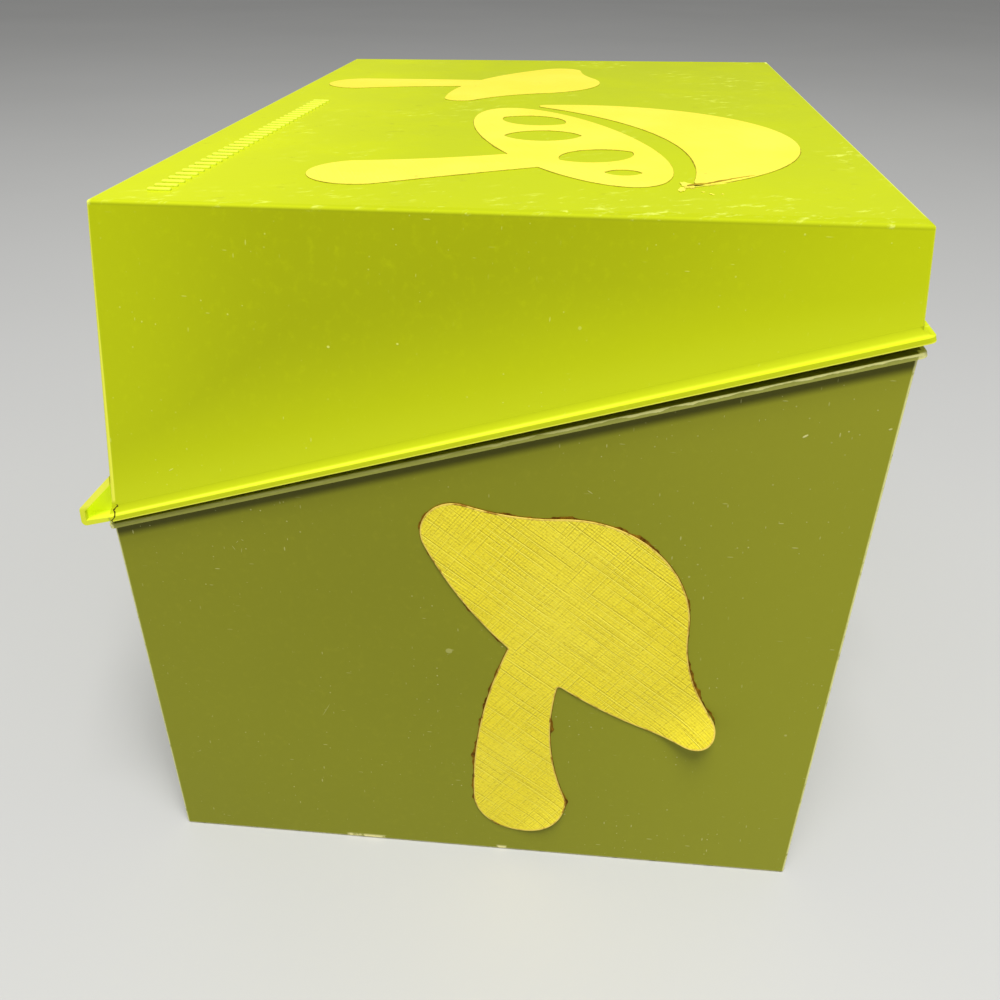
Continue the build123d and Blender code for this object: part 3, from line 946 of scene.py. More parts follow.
@dataclass(frozen=True)
class LinenVinyl:
    """Self-adhesive vinyl embossed with a loose linen weave, read from the sheet's UV layer, with painted
    shade in its embossed lines and painted highlights beside them.
    """

    name: str = "linen_vinyl"
    layer: str = "weave"
    colour: Colour = srgb(239, 221, 43)
    # The groove colour paints shade in the embossed lines; the ridge colour paints the highlight beside them
    # and the paler patches.
    groove: Colour = srgb(192, 168, 20)
    ridge: Colour = srgb(252, 242, 92)
    stain: Colour = srgb(150, 108, 30)
    stain_share: float = 0.35
    strength: float = 1.8
    roughness: float = 0.5
    shine: float = 0.25
    emboss: float = 0.16
    thread: float = 0.42
    thread_wander: float = 3.0
    spacing: float = 1.05
    line_width: float = 0.13
    line_wander: float = 0.9
    line_fade: Fade = Fade(0.34, 0.66)
    cross_turn: float = 87.0
    cross_share: float = 0.55
    cross_ridge_share: float = 0.5
    fine_spacing: float = 0.46
    fine_width: float = 0.1
    fine_turns: tuple[float, float] = (1.0, 89.0)
    fine_share: float = 0.5
    ridge_shift: float = 0.15
    ridge_share: float = 0.42
    ridge_height: float = 0.25
    groove_share: float = 0.4
    groove_depth: float = 0.35
    groove_dull: float = 0.15
    pit_pale: Fade = Fade(0.55, 0.75, 0.22)
    pit_dark: Fade = Fade(0.3, 0.48, 0.32)
    pit_dull: Fade = Fade(0.4, 0.7, 0.08)
    pit_height: float = 0.4
    weave_height: float = 0.25
    cloud: Fade = Fade(0.35, 0.7, 0.2)

    def threads(self, graph: Graph, point: Term, degrees: float, spacing: float,
                width: float) -> tuple[Term, Term]:
        """Give the long straight lines of one direction, which fade in and out.

        Args:
            graph: The material's nodes.
            point: Place on the sheet.
            degrees: Direction of the lines.
            spacing: Mean distance between lines.
            width: Width of a line.

        Returns:
            A mask of the grooves, and a mask of the ridges beside them.
        """
        drawn = graph.turned(point, (1.0, 1.0, 1.0), degrees)
        _, across, _ = graph.axes(drawn)
        wander = graph.noise(graph.turned(drawn, (0.06, 0.3, 1.0)), scale=1.0, detail=1.0)
        seen = self.line_fade.rise(graph.noise(graph.turned(drawn, (0.09, 1.3, 1.0)), scale=1.0, detail=2.0))
        place = across + wander * self.line_wander
        beside = place + self.ridge_shift
        return graph.lines(place, spacing, width) * seen, graph.lines(beside, spacing, width) * seen

    def build(self) -> bpy.types.Material:
        """Make the material.

        Returns:
            The finished material.
        """
        graph = Graph.of_material(self.name)
        point = graph.sheet_point(self.layer)
        along, across, _ = graph.axes(point)
        turn = math.tau / self.thread
        wander = graph.noise(point, scale=0.9, detail=2.0) * self.thread_wander
        weave = ((along * turn + wander).sine() + (across * turn - wander).sine()) * 0.25 + 0.5
        grooves, ridges = self.threads(graph, point, 0.0, self.spacing, self.line_width)
        cross, cross_ridges = self.threads(graph, point, self.cross_turn, self.spacing, self.line_width)
        grooves = grooves.highest(cross * self.cross_share)
        ridges = ridges.highest(cross_ridges * self.cross_ridge_share)
        for degrees in self.fine_turns:
            fine, _ = self.threads(graph, point, degrees, self.fine_spacing, self.fine_width)
            grooves = grooves.highest(fine * self.fine_share)
        pits = graph.noise(point, scale=2.6, detail=4.0, roughness=0.65)
        raised = weave * self.weave_height + pits * self.pit_height + ridges * self.ridge_height
        cloud = self.cloud.rise(graph.noise(point, scale=0.06, detail=3.0))
        # Painted shade in the grooves and painted highlight on the ridges beside them; the colour is also
        # darker where the pits are low and paler where they are high, as in the bump.
        tone = graph.mix(cloud + self.pit_pale.rise(pits), self.colour, self.ridge)
        dark = (grooves * self.groove_share + self.pit_dark.fall(pits)) * self.strength
        woven = graph.mix(ridges * (self.ridge_share * self.strength), graph.mix(dark, tone, self.groove),
                          self.ridge)
        stains = graph.specks(point, spacing=9.0, radius=0.35, share=0.35)
        return graph.close({
            "Base Color": graph.mix(stains * self.stain_share, woven, self.stain),
            "Roughness": self.roughness + grooves * self.groove_dull + self.pit_dull.rise(pits),
            "Normal": graph.bump(raised - grooves * self.groove_depth, self.emboss),
            "Specular IOR Level": self.shine,
        })


@dataclass(frozen=True)
class Mottled:
    """A finish in two colours that change in cloudy patches, over a fine texture."""

    name: str
    first: Colour
    second: Colour
    change: Fade
    roughness: float
    dull: float
    height: float
    patches: tuple[float, float, float]
    texture: tuple[float, float]
    stretch: tuple[float, float, float] = (1.0, 1.0, 1.0)
    shine: float = 0.08
    metallic: float = 0.0

    def build(self) -> bpy.types.Material:
        """Make the material.

        Returns:
            The finished material.
        """
        graph = Graph.of_material(self.name)
        point = graph.point()
        patches = graph.noise(point, *self.patches)
        texture = graph.noise(graph.turned(point, self.stretch), *self.texture)
        return graph.close({
            "Base Color": graph.mix(self.change.rise(patches), self.first, self.second),
            "Metallic": self.metallic,
            "Roughness": self.roughness + patches * self.dull,
            "Specular IOR Level": self.shine,
            "Normal": graph.bump(texture, self.height),
        })


@dataclass(frozen=True)
class OldGlue(Mottled):
    """Browned adhesive that has crept out round a cut-out."""

    name: str = "old_glue"
    first: Colour = srgb(86, 54, 4)
    second: Colour = srgb(148, 110, 20)
    change: Fade = Fade(0.35, 0.7)
    roughness: float = 0.55
    dull: float = 0.3
    height: float = 0.05
    patches: tuple[float, float, float] = (0.7, 5.0, 0.7)
    texture: tuple[float, float] = (3.0, 3.0)


@dataclass(frozen=True)
class VinylEdge(Mottled):
    """Cut edge of the vinyl, where its paper core shows."""

    name: str = "vinyl_edge"
    first: Colour = srgb(226, 200, 88)
    second: Colour = srgb(150, 108, 34)
    change: Fade = Fade(0.48, 0.7)
    roughness: float = 0.7
    dull: float = 0.2
    height: float = 0.03
    patches: tuple[float, float, float] = (0.6, 4.0, 0.65)
    texture: tuple[float, float] = (4.0, 2.0)


@dataclass(frozen=True)
class DrawnSteel(Mottled):
    """Drawn steel wire of the hinge pins."""

    name: str = "drawn_steel"
    first: Colour = srgb(188, 188, 186)
    second: Colour = srgb(122, 118, 112)
    change: Fade = Fade(0.4, 0.7)
    roughness: float = 0.28
    dull: float = 0.2
    height: float = 0.008
    patches: tuple[float, float, float] = (0.6, 4.0, 0.5)
    texture: tuple[float, float] = (1.0, 3.0)
    stretch: tuple[float, float, float] = (0.1, 6.0, 6.0)
    shine: float = 0.5
    metallic: float = 1.0


@dataclass(frozen=True)
class DividerBoard:
    """Pressed board of the index dividers, with fibres and handled tabs."""

    name: str = "divider_board"
    colour: Colour = srgb(205, 172, 112)
    fibre: Colour = srgb(148, 112, 62)
    handled: Colour = srgb(170, 134, 80)
    fibre_tone: Fade = Fade(0.45, 0.75, 0.5)
    fibre_dull: float = 0.12
    fibre_height: float = 0.05
    fleck_share: float = 0.5
    tab: Fade = Fade(77.0, 85.0, 0.6)
    grubby: Fade = Fade(0.35, 0.65)
    roughness: float = 0.78

    def build(self) -> bpy.types.Material:
        """Make the material.

        Returns:
            The finished material.
        """
        graph = Graph.of_material(self.name)
        point = graph.point()
        _, _, z = graph.axes(point)
        stretched = graph.turned(point, (0.5, 2.0, 2.6), 25.0, axis=1)
        fibres = graph.noise(stretched, scale=1.0, detail=4.0, roughness=0.6)
        flat = graph.turned(graph.spread(point), (0.35, 1.0, 1.0), -40.0)
        flecks = graph.specks(flat, spacing=2.0, radius=0.3, share=0.4)
        toned = graph.mix(self.fibre_tone.rise(fibres), self.colour, self.fibre)
        flecked = graph.mix(flecks * self.fleck_share, toned, self.fibre)
        grubby = self.tab.rise(z) * self.grubby.rise(graph.noise(point, scale=0.15, detail=4.0))
        return graph.close({
            "Base Color": graph.mix(grubby, flecked, self.handled),
            "Roughness": self.roughness + fibres * self.fibre_dull,
            "Normal": graph.bump(fibres, self.fibre_height),
        })


@dataclass(frozen=True)
class RuledPaper:
    """Card stock ruled with a red head line and blue lines."""

    name: str = "ruled_paper"
    colour: Colour = srgb(238, 232, 212)
    aged: Colour = srgb(222, 206, 166)
    blue: Colour = srgb(150, 178, 204)
    red: Colour = srgb(206, 108, 104)
    foot: float = 2.4
    lean: float = 6.0
    head_line: float = 64.0
    line_pitch: float = 6.35
    line_half: float = 0.15
    line_share: float = 0.8
    side_age: Fade = Fade(57.0, 64.0)
    head_age: Fade = Fade(70.0, 77.0)
    edge_share: float = 0.36
    cloud: Fade = Fade(0.45, 0.8, 0.24)
    each_card: Fade = Fade(0.4, 0.65, 0.3)
    roughness: float = 0.82
    fibre_dull: float = 0.1
    fibre_height: float = 0.02

    def rules(self, height: Term) -> tuple[Term, Term]:
        """Draw the lines.

        Args:
            height: Height on the card.

        Returns:
            Masks of the blue lines and of the head line.
        """
        line = Fade(self.line_half, 2 * self.line_half, self.line_share)
        steps = (height - self.head_line) * (1 / self.line_pitch)
        off_line = abs((steps + 0.5).fraction() - 0.5) * self.line_pitch
        lower = height.fall(self.head_line - 0.6 * self.line_pitch, self.head_line - 0.5 * self.line_pitch)
        return line.fall(off_line) * lower, line.fall(abs(height - self.head_line))

    def build(self) -> bpy.types.Material:
        """Make the material.

        Returns:
            The finished material.
        """
        graph = Graph.of_material(self.name)
        point = graph.point()
        x, _, z = graph.axes(point)
        height = (z - self.foot) * (1 / math.cos(math.radians(self.lean)))
        ruled, head = self.rules(height)
        fibres = graph.noise(point, scale=1.6, detail=4.0, roughness=0.6)
        edge = self.side_age.rise(abs(x)).highest(self.head_age.rise(height)) * self.edge_share
        cloud = self.cloud.rise(graph.noise(point, scale=0.05, detail=3.0))
        each = self.each_card.rise(graph.noise(graph.turned(point, (0.0, 1.0, 0.1)), scale=1.4, detail=0.0))
        paper = graph.mix(edge + cloud + each, self.colour, self.aged)
        return graph.close({
            "Base Color": graph.mix(head, graph.mix(ruled, paper, self.blue), self.red),
            "Roughness": self.roughness + fibres * self.fibre_dull,
            "Normal": graph.bump(fibres, self.fibre_height),
        })


class Face(Enum):
    """Faces that carry cut-outs, each with its outward direction and the one from which turns are counted."""

    SIDE = (Vector((1.0, 0.0, 0.0)), Vector((0.0, 1.0, 0.0)))
    TOP = (Vector((0.0, 0.0, 1.0)), Vector((1.0, 0.0, 0.0)))

    @property
    def outward(self) -> Vector:
        """Give the rough outward direction."""
        return self.value[0]

    @property
    def across(self) -> Vector:
        """Give the direction from which turns are counted."""
        return self.value[1]


@dataclass(frozen=True)
class Curl:
    """A corner of a sheet that has come away, in millimetres and degrees on the sheet's face."""

    across: float
    up: float
    direction: float
    reach: float
    lift: float


class Workshop:
    """Turns bmeshes into finished pieces of the object."""

    @staticmethod
    def publish(shape: bmesh.types.BMesh, name: str, body: Body, slot: Slot,
                finishes: list[bpy.types.Material], sharp: float = 35.0) -> bpy.types.Object:
        """Make an object from a bmesh and let it ride on a body.

        Args:
            shape: The mesh, which is freed.
            name: Name of the piece.
            body: Body that it moves with.
            slot: Record slot of its finish; not used.
            finishes: Materials, in the order of the faces' numbers.
            sharp: Least angle of an edge that stays crisp, in degrees.

        Returns:
            The new piece.
        """
        mesh = bpy.data.meshes.new(name)
        shape.to_mesh(mesh)
        shape.free()
        for finish in finishes:
            mesh.materials.append(finish)
        mesh.shade_smooth()
        mesh.set_sharp_from_angle(angle=math.radians(sharp))
        piece = bpy.data.objects.new(name, mesh)
        bpy.context.scene.collection.objects.link(piece)
        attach(piece, body.value)
        LOG.info("%s: %d faces on %s", name, len(mesh.polygons), body.value)
        return piece

    @staticmethod
    def dress(names: list[str], finish: bpy.types.Material) -> None:
        """Give CAD nodes a finish.

        Args:
            names: Names of the nodes.
            finish: The material.
        """
        for name in names:
            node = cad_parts[name]
            if not node.material_slots:
                node.data.materials.append(finish)
            for slot in node.material_slots:
                slot.material = finish
            LOG.info("%s: %s", name, finish.name)


@dataclass(frozen=True)
class CutOut:
    """A figure cut from vinyl sheet and stuck on a face, with the glue that has crept out round it."""

    node: str
    body: Body
    face: Face
    weave_turn: float
    curls: tuple[Curl, ...] = ()
    pitch: float = 1.5
    solid_rise: float = 0.4
    sheet_rise: float = 0.2
    seat_gap: float = 0.02
    flat_angle: float = 0.2
    border: float = 0.0
    edge_round: float = 0.05
    edge_segments: int = 2
    edge_angle: float = 50.0
    glue_least: float = 0.09
    glue_most: float = 0.62
    glue_step: float = 0.3
    glue_thickness: float = 0.05
    glue_share: float = 0.7
    clot_scale: float = 210.0
    clots: tuple[float, float, int] = (0.6, 2.3, 5)

    def flat(self) -> bmesh.types.BMesh:
        """Take the outer face of the CAD figure as one flat sheet.

        Returns:
            The sheet.
        """
        shape = bmesh.new()
        shape.from_mesh(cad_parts[self.node].data)
        bmesh.ops.remove_doubles(shape, verts=shape.verts, dist=WELD)
        shape.normal_update()
        hidden = [face for face in shape.faces if face.normal.dot(self.face.outward) < FACING]
        bmesh.ops.delete(shape, geom=hidden, context="FACES")
        bmesh.ops.dissolve_limit(shape, angle_limit=math.radians(self.flat_angle), verts=shape.verts,
                                 edges=shape.edges)
        return shape

    def lower(self, shape: bmesh.types.BMesh, outward: Vector, rise: float) -> None:
        """Bring the flat sheet down to a height above the face that carries it.

        Args:
            shape: The sheet.
            outward: Outward direction of the sheet.
            rise: The height in millimetres.
        """
        bmesh.ops.translate(shape, verts=shape.verts, vec=outward * ((rise - self.solid_rise) * MM))

    def axes(self, shape: bmesh.types.BMesh) -> tuple[Vector, Vector, Vector]:
        """Find the across, up and outward directions of a flat sheet.

        Args:
            shape: The sheet.

        Returns:
            The three directions.
        """
        shape.normal_update()
        outward = max(shape.faces, key=lambda face: face.calc_area()).normal.copy()
        across = (self.face.across - outward * self.face.across.dot(outward)).normalized()
        return across, outward.cross(across), outward

    def grid(self, shape: bmesh.types.BMesh, directions: tuple[Vector, Vector]) -> None:
        """Cut a sheet into small squares so that it can bend.

        Args:
            shape: The sheet.
            directions: Directions across which it is cut.
        """
        for direction in directions:
            places = [vert.co.dot(direction) for vert in shape.verts]
            low = min(places)
            for count in range(1, int((max(places) - low) / (self.pitch * MM)) + 1):
                everything = shape.verts[:] + shape.edges[:] + shape.faces[:]
                bmesh.ops.bisect_plane(shape, geom=everything, dist=WELD, plane_no=direction,
                                       plane_co=direction * (low + count * self.pitch * MM))

    def bend(self, shape: bmesh.types.BMesh, across: Vector, up: Vector, outward: Vector) -> None:
        """Lift the corners that have come away.

        Args:
            shape: The sheet.
            across: Across direction of the sheet.
            up: Up direction of the sheet.
            outward: Outward direction of the sheet.
        """
        for curl in self.curls:
            turn = math.radians(curl.direction)
            direction = across * math.cos(turn) + up * math.sin(turn)
            start = (across * curl.across + up * curl.up) * MM
            for vert in shape.verts:
                past = (vert.co - start).dot(direction) / (curl.reach * MM)
                if past > 0.0:
                    vert.co += outward * (curl.lift * MM * past ** 2)

    def lay_weave(self, shape: bmesh.types.BMesh, across: Vector, up: Vector, layer: str) -> None:
        """Write the place on the sheet, in millimetres along the weave, to a UV layer.

        Args:
            shape: The sheet.
            across: Across direction of the sheet.
            up: Up direction of the sheet.
            layer: Name of the UV layer.
        """
        turn = math.radians(self.weave_turn)
        along = across * math.cos(turn) + up * math.sin(turn)
        over = up * math.cos(turn) - across * math.sin(turn)
        weave = shape.loops.layers.uv.new(layer)
        for face in shape.faces:
            for loop in face.loops:
                loop[weave].uv = (loop.vert.co.dot(along) / MM, loop.vert.co.dot(over) / MM)

    def build_sheet(self, finishes: list[bpy.types.Material], layer: str) -> bpy.types.Object:
        """Make the vinyl figure.

        Args:
            finishes: The vinyl and its cut edge.
            layer: Name of the weave's UV layer.

        Returns:
            The piece that stands for the CAD figure.
        """
        shape = self.flat()
        across, up, outward = self.axes(shape)
        self.lower(shape, outward, self.sheet_rise)
        # The band round the top face takes the cut edge's finish; its pale is a painted highlight of the lit
        # cut edge.
        if self.border:
            made = bmesh.ops.inset_region(shape, faces=shape.faces[:], thickness=self.border * MM,
                                          use_boundary=True, use_even_offset=True)
            for face in made["faces"]:
                face.material_index = 1
        self.grid(shape, (across, up))
        self.bend(shape, across, up, outward)
        shape.normal_update()
        bmesh.ops.solidify(shape, geom=shape.faces[:], thickness=(self.sheet_rise - self.seat_gap) * MM)
        bmesh.ops.recalc_face_normals(shape, faces=shape.faces)
        for face in shape.faces:
            cut = abs(face.normal.dot(outward)) < EDGE_ON
            face.material_index = max(face.material_index, int(cut))
        self.lay_weave(shape, across, up, layer)
        piece = Workshop.publish(shape, f"{self.node}_vinyl", self.body, Slot.VINYL, finishes)
        rounding = piece.modifiers.new("cut_edge", "BEVEL")
        rounding.width = self.edge_round * MM
        rounding.segments = self.edge_segments
        rounding.limit_method = "ANGLE"
        rounding.angle_limit = math.radians(self.edge_angle)
        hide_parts(self.node)
        return piece

    def build_glue(self, finish: bpy.types.Material) -> bpy.types.Object:
        """Make the ragged line of old glue round the figure.

        Args:
            finish: The glue's material.

        Returns:
            The piece.
        """
        shape = self.flat()
        _, _, outward = self.axes(shape)
        self.lower(shape, outward, self.glue_thickness)
        rim = [edge for edge in shape.edges if edge.is_boundary]
        for edge in rim:
            cuts = int(edge.calc_length() / (self.glue_step * MM))
            if cuts:
                bmesh.ops.subdivide_edges(shape, edges=[edge], cuts=cuts)
        rim = [edge for edge in shape.edges if edge.is_boundary]
        inside = shape.faces[:]
        away = {}
        for edge in rim:
            loop = edge.link_loops[0]
            run = (loop.link_loop_next.vert.co - loop.vert.co).normalized()
            for vert in edge.verts:
                away[vert] = away.get(vert, Vector()) + run.cross(outward)
        places = {vert.co.copy().freeze(): away[vert].normalized() for vert in away}
        made = bmesh.ops.extrude_edge_only(shape, edges=rim)["geom"]
        for vert in (item for item in made if isinstance(item, bmesh.types.BMVert)):
            amount = noise.fractal(vert.co * self.clot_scale, *self.clots)
            width = self.glue_least + self.glue_most * max(0.0, amount)
            vert.co += places[vert.co.copy().freeze()] * (width * MM)
        bmesh.ops.delete(shape, geom=inside, context="FACES")
        shape.normal_update()
        bmesh.ops.solidify(shape, geom=shape.faces[:], thickness=self.glue_share * self.glue_thickness * MM)
        bmesh.ops.recalc_face_normals(shape, faces=shape.faces)
        return Workshop.publish(shape, f"{self.node}_glue", self.body, Slot.VINYL, [finish])


@dataclass(frozen=True)
class Scraps:
    """Ragged flat scraps on the lid's top, each with its place, length, width and turn."""

    name: str
    scraps: tuple[tuple[float, float, float, float, float], ...]
    thickness: float
    lift: float
    ragged: float
    rise: float = 0.0
    top: LidTop = LidTop()
    corners: int = 28
    grain: float = 5.0
    lift_grain: float = 0.6
    lift_mean: float = 0.5
    solid_share: float = 0.9

    def build(self, finish: bpy.types.Material) -> bpy.types.Object:
        """Make the scraps as one piece.

        Args:
            finish: Their material.

        Returns:
            The piece.
        """
        shape = bmesh.new()
        for x, y, length, width, turn in self.scraps:
            made = bmesh.ops.create_circle(shape, cap_ends=True, segments=self.corners, radius=0.5)["verts"]
            for vert in made:
                seed = Vector((x, y, turn)) + vert.co * self.grain
                vert.co *= 1.0 + self.ragged * noise.noise(seed)
                vert.co.z = self.lift * (noise.noise(seed * self.lift_grain) + self.lift_mean)
            z = self.top.height(y) + self.rise + self.thickness
            size = Matrix.Diagonal(Vector((length, width, 1.0, 1 / MM)) * MM)
            spin = Matrix.Rotation(math.radians(turn), 4, "Z")
            place = Matrix.Translation(Vector((x, y, z)) * MM)
            bmesh.ops.transform(shape, matrix=place @ spin @ size, verts=made)
        shape.normal_update()
        bmesh.ops.solidify(shape, geom=shape.faces[:], thickness=self.solid_share * self.thickness * MM)
        bmesh.ops.recalc_face_normals(shape, faces=shape.faces)
        return Workshop.publish(shape, self.name, Body.LID, Slot.VINYL, [finish])


@dataclass(frozen=True)
class GripRow:
    """A row of small moulded ribs on the lid's top, along its front edge, in millimetres."""

    first_x: float = 61.0
    last_x: float = -5.0
    first_y: float = -37.7
    last_y: float = -36.0
    pitch: float = 2.0
    width: float = 0.7
    length: float = 2.8
    height: float = 0.3
    sunk: float = 0.1
    edge: float = 0.16
    crisp: float = 60.0
    top: LidTop = LidTop()

    def build(self, finish: bpy.types.Material) -> bpy.types.Object:
        """Make the ribs as one piece.

        Args:
            finish: The ribs' material.

        Returns:
            The piece.
        """
        shape = bmesh.new()
        count = int(abs(self.last_x - self.first_x) / self.pitch)
        tall = self.height + self.sunk
        size = Matrix.Diagonal(Vector((self.width, self.length, tall, 1 / MM)) * MM)
        for step in range(count + 1):
            share = step / count
            x = self.first_x + share * (self.last_x - self.first_x)
            y = self.first_y + share * (self.last_y - self.first_y)
            place = Matrix.Translation(Vector((x, y, self.top.height(y) - self.sunk + tall / 2)) * MM)
            rib = bmesh.ops.create_cube(shape, size=1.0, matrix=place @ size)["verts"]
            edges = {edge for vert in rib for edge in vert.link_edges}
            bmesh.ops.bevel(shape, geom=list(edges), offset=self.edge * MM, offset_type="OFFSET", segments=2,
                            profile=0.5, affect="EDGES", material=-1)
        return Workshop.publish(shape, "lid_grip_ribs", Body.LID, Slot.LIME, [finish], sharp=self.crisp)


@dataclass(frozen=True)
class Tub:
    """The tub moulding with the figure on its near side."""

    figure: CutOut = CutOut("side_mushroom", Body.BASE, Face.SIDE, weave_turn=-38.0, border=0.18,
                            curls=(Curl(across=26.3, up=32.3, direction=-41.0, reach=7.0, lift=2.0),))

    def build(self, olive: bpy.types.Material, vinyl: list[bpy.types.Material], glue: bpy.types.Material,
              layer: str) -> None:
        """Dress the moulding and stick the figure on.

        Args:
            olive: Finish of the moulding.
            vinyl: Finishes of the figure and its edge.
            glue: Finish of the old glue.
            layer: Name of the weave's UV layer.
        """
        Workshop.dress(["base"], olive)
        self.figure.build_sheet(vinyl, layer)
        self.figure.build_glue(glue)


@dataclass(frozen=True)
class Lid:
    """The lid moulding with its figures, the torn tip of one of them and a row of ribs."""

    figures: tuple[CutOut, ...] = tuple(
        CutOut(name, Body.LID, Face.TOP, weave_turn=turn, sheet_rise=0.1, edge_round=0.03,
               glue_least=0.3 * creep, glue_most=creep, glue_thickness=0.04)
        for name, turn, creep in (("lid_mushroom_cap", 22.0, 0.14), ("lid_mushroom_stem", 22.0, 0.14),
                                  ("lid_small_mushroom", -21.0, 0.05)))
    flakes: Scraps = Scraps("lid_mushroom_cap_flakes", (
        (52.9, 22.7, 3.4, 1.3, 18.0), (55.2, 22.0, 2.2, 0.9, -8.0), (52.5, 25.5, 6.0, 0.3, 124.0),
        (57.2, 25.2, 0.7, 0.3, 40.0), (57.0, 26.4, 0.4, 0.25, 0.0), (56.2, 24.3, 0.4, 0.25, 70.0)),
        thickness=0.07, lift=0.04, ragged=0.65)
    tear: Scraps = Scraps("lid_mushroom_cap_tear", (
        (52.5, 24.1, 3.4, 0.7, 117.0), (50.7, 26.6, 4.2, 0.55, 131.0), (48.3, 29.4, 4.4, 0.3, 128.0)),
        thickness=0.03, lift=0.02, ragged=0.3, rise=0.1)
    ribs: GripRow = GripRow()

    def build(self, lime: bpy.types.Material, raised: bpy.types.Material, vinyl: list[bpy.types.Material],
              glue: bpy.types.Material, backing: bpy.types.Material, layer: str) -> None:
        """Dress the moulding, raise the ribs and stick the figures on.

        Args:
            lime: Finish of the moulding.
            raised: Finish of the ribs.
            vinyl: Finishes of the figures and their edges.
            glue: Finish of the old glue.
            backing: Finish of what shows in the tear.
            layer: Name of the weave's UV layer.
        """
        Workshop.dress(["lid"], lime)
        self.ribs.build(raised)
        self.flakes.build(vinyl[1])
        self.tear.build(backing)
        for figure in self.figures:
            figure.build_sheet(vinyl, layer)
            figure.build_glue(glue)


@dataclass(frozen=True)
class CardIndex:
    """The hinge pins, dividers and cards, which keep their CAD shapes."""

    sections: int = 5

    def build(self, steel: bpy.types.Material, board: bpy.types.Material, paper: bpy.types.Material) -> None:
        """Dress the pins, dividers and cards.

        Args:
            steel: Finish of the pins.
            board: Finish of the dividers.
            paper: Finish of the cards.
        """
        numbers = range(1, self.sections + 1)
        Workshop.dress(["hinge_pin_left", "hinge_pin_right"], steel)
        Workshop.dress([f"index_divider_{number}" for number in numbers], board)
        Workshop.dress([f"recipe_cards_{number}" for number in numbers], paper)


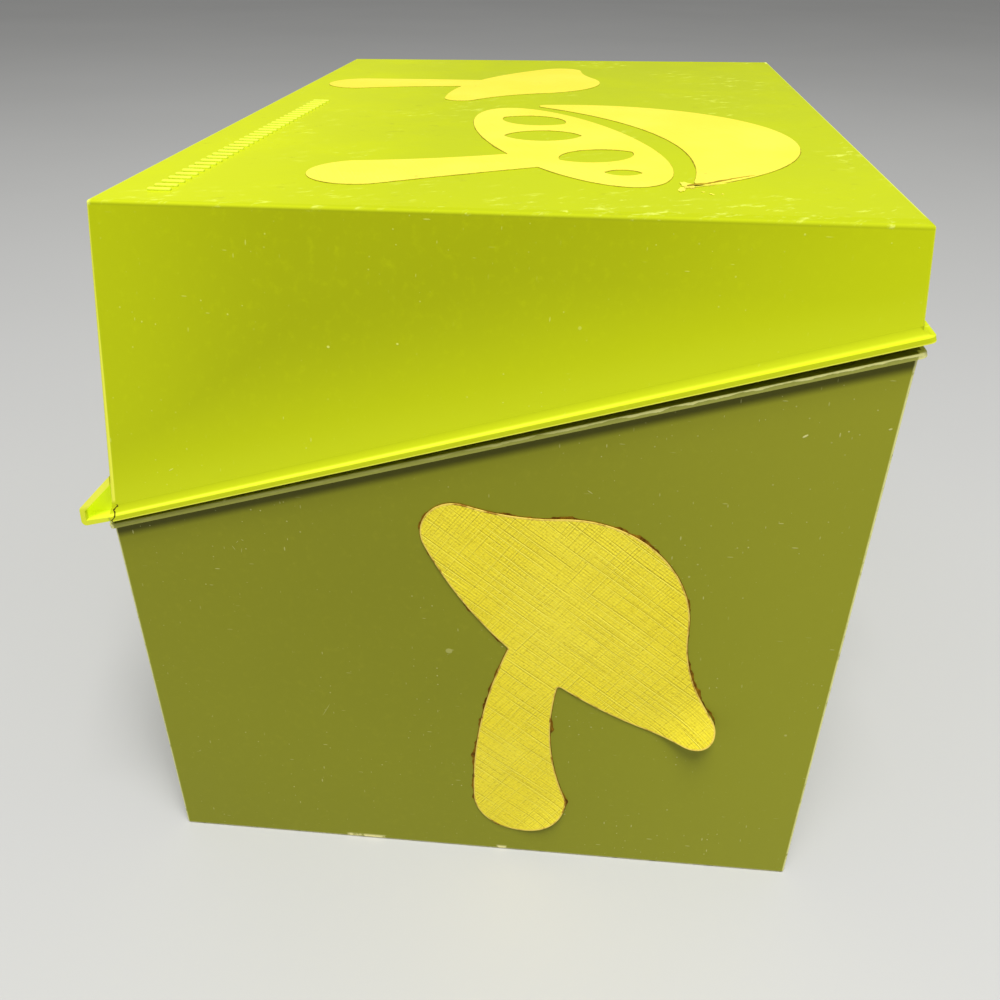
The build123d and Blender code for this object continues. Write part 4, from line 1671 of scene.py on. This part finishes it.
@dataclass(frozen=True)
class Studio:
    """Pale floor, soft light and the camera, in metres and degrees."""

    floor_radius: float = 12.0
    floor_sides: int = 64
    floor_colour: Colour = srgb(190, 190, 188)
    floor_shade: Colour = srgb(180, 180, 178)
    floor_roughness: float = 0.6
    floor_dull: float = 0.1
    sky_low: float = 0.14
    sky_high: float = 0.5
    sky_from: float = 0.2
    sky_to: float = 0.95
    key_power: float = 13.0
    key_size: float = 0.42
    key_place: tuple[float, float, float] = (0.42, 0.08, 0.95)
    target: tuple[float, float, float] = (0.0, 0.0, 0.05)
    camera_place: tuple[float, float, float] = (0.1742, 0.0131, 0.1233)
    camera_azimuth: float = 95.60
    camera_elevation: float = 29.97
    camera_roll: float = 0.64
    lens: float = 36.2
    sensor: float = 36.0
    nearest: float = 0.01

    def build_floor(self) -> None:
        """Lay a large pale disc with a faint unevenness."""
        graph = Graph.of_material("pale_floor")
        tone = graph.noise(graph.point(), scale=0.004, detail=3.0)
        finish = graph.close({
            "Base Color": graph.mix(tone, self.floor_colour, self.floor_shade),
            "Roughness": self.floor_roughness + tone * self.floor_dull,
        })
        shape = bmesh.new()
        bmesh.ops.create_circle(shape, cap_ends=True, segments=self.floor_sides, radius=self.floor_radius)
        mesh = bpy.data.meshes.new("studio_floor")
        shape.to_mesh(mesh)
        shape.free()
        mesh.materials.append(finish)
        floor = bpy.data.objects.new("studio_floor", mesh)
        bpy.context.scene.collection.objects.link(floor)

    def build_light(self) -> None:
        """Hang one soft light that faces the box."""
        light = bpy.data.lights.new("overhead_light", "AREA")
        light.energy = self.key_power
        light.size = self.key_size
        lamp = bpy.data.objects.new("overhead_light", light)
        lamp.location = self.key_place
        aim = Vector(self.target) - Vector(self.key_place)
        lamp.rotation_euler = aim.to_track_quat("-Z", "Y").to_euler()
        bpy.context.scene.collection.objects.link(lamp)

    def build_sky(self) -> None:
        """Fill the room with soft light that grows towards the ceiling."""
        graph = Graph(bpy.data.worlds.new("studio_sky"))
        _, _, height = graph.axes(graph.term("ShaderNodeTexCoord", "Generated"))
        strength = graph.ramp(height, self.sky_from, self.sky_to, self.sky_low, self.sky_high)
        light = graph.term("ShaderNodeBackground", 0, None, {"Color": WHITE, "Strength": strength})
        graph.node("ShaderNodeOutputWorld", None, {"Surface": light})
        bpy.context.scene.world = graph.owner

    def build_camera(self) -> None:
        """Set the camera where the photograph was taken from."""
        azimuth = math.radians(self.camera_azimuth)
        elevation = math.radians(self.camera_elevation)
        roll = math.radians(self.camera_roll)
        back = Vector((math.sin(azimuth) * math.cos(elevation), -math.cos(azimuth) * math.cos(elevation),
                       math.sin(elevation)))
        right = Vector((0.0, 0.0, 1.0)).cross(back).normalized()
        up = back.cross(right)
        across = right * math.cos(roll) + up * math.sin(roll)
        upward = up * math.cos(roll) - right * math.sin(roll)
        lens = bpy.data.cameras.new("photo_view")
        lens.lens = self.lens
        lens.sensor_width = self.sensor
        lens.clip_start = self.nearest
        camera = bpy.data.objects.new("photo_view", lens)
        turn = Matrix((across, upward, back)).transposed().to_4x4()
        camera.matrix_world = Matrix.Translation(Vector(self.camera_place)) @ turn
        bpy.context.scene.collection.objects.link(camera)
        bpy.context.scene.camera = camera

    def build(self) -> None:
        """Set up the whole studio."""
        self.build_floor()
        self.build_light()
        self.build_sky()
        self.build_camera()
        bpy.context.scene.view_settings.view_transform = "Standard"


def main() -> None:
    """Build the finishes, the pieces and the studio."""
    logging.basicConfig(level=logging.INFO, format="%(name)s %(message)s")
    lime = LidStyrene()
    # A lighter copy of the lid's finish for the ribs: painted light.
    raised = replace(lime, name="lime_styrene_raised", colour=srgb(206, 218, 52), deep=srgb(200, 212, 48),
                     pale=srgb(214, 226, 64), sunlit=srgb(216, 228, 66))
    weave = LinenVinyl()
    faded = replace(weave, name="linen_vinyl_faded", colour=srgb(230, 214, 60), groove=srgb(216, 198, 48),
                    ridge=srgb(244, 234, 104), strength=0.3, emboss=0.06)
    vinyl = [weave.build(), VinylEdge().build()]
    lid_vinyl = [faded.build(), VinylEdge("vinyl_edge_faded", srgb(226, 218, 78), srgb(190, 172, 60)).build()]
    thin_glue = OldGlue("old_glue_thin", srgb(128, 116, 24), srgb(170, 162, 40)).build()
    backing = OldGlue("torn_backing", srgb(146, 118, 20), srgb(184, 164, 40)).build()
    Tub().build(TubStyrene().build(), vinyl, OldGlue().build(), weave.layer)
    Lid().build(lime.build(), raised.build(), lid_vinyl, thin_glue, backing, weave.layer)
    CardIndex().build(DrawnSteel().build(), DividerBoard().build(), RuledPaper().build())
    Studio().build()


if __name__ == "__main__":
    main()
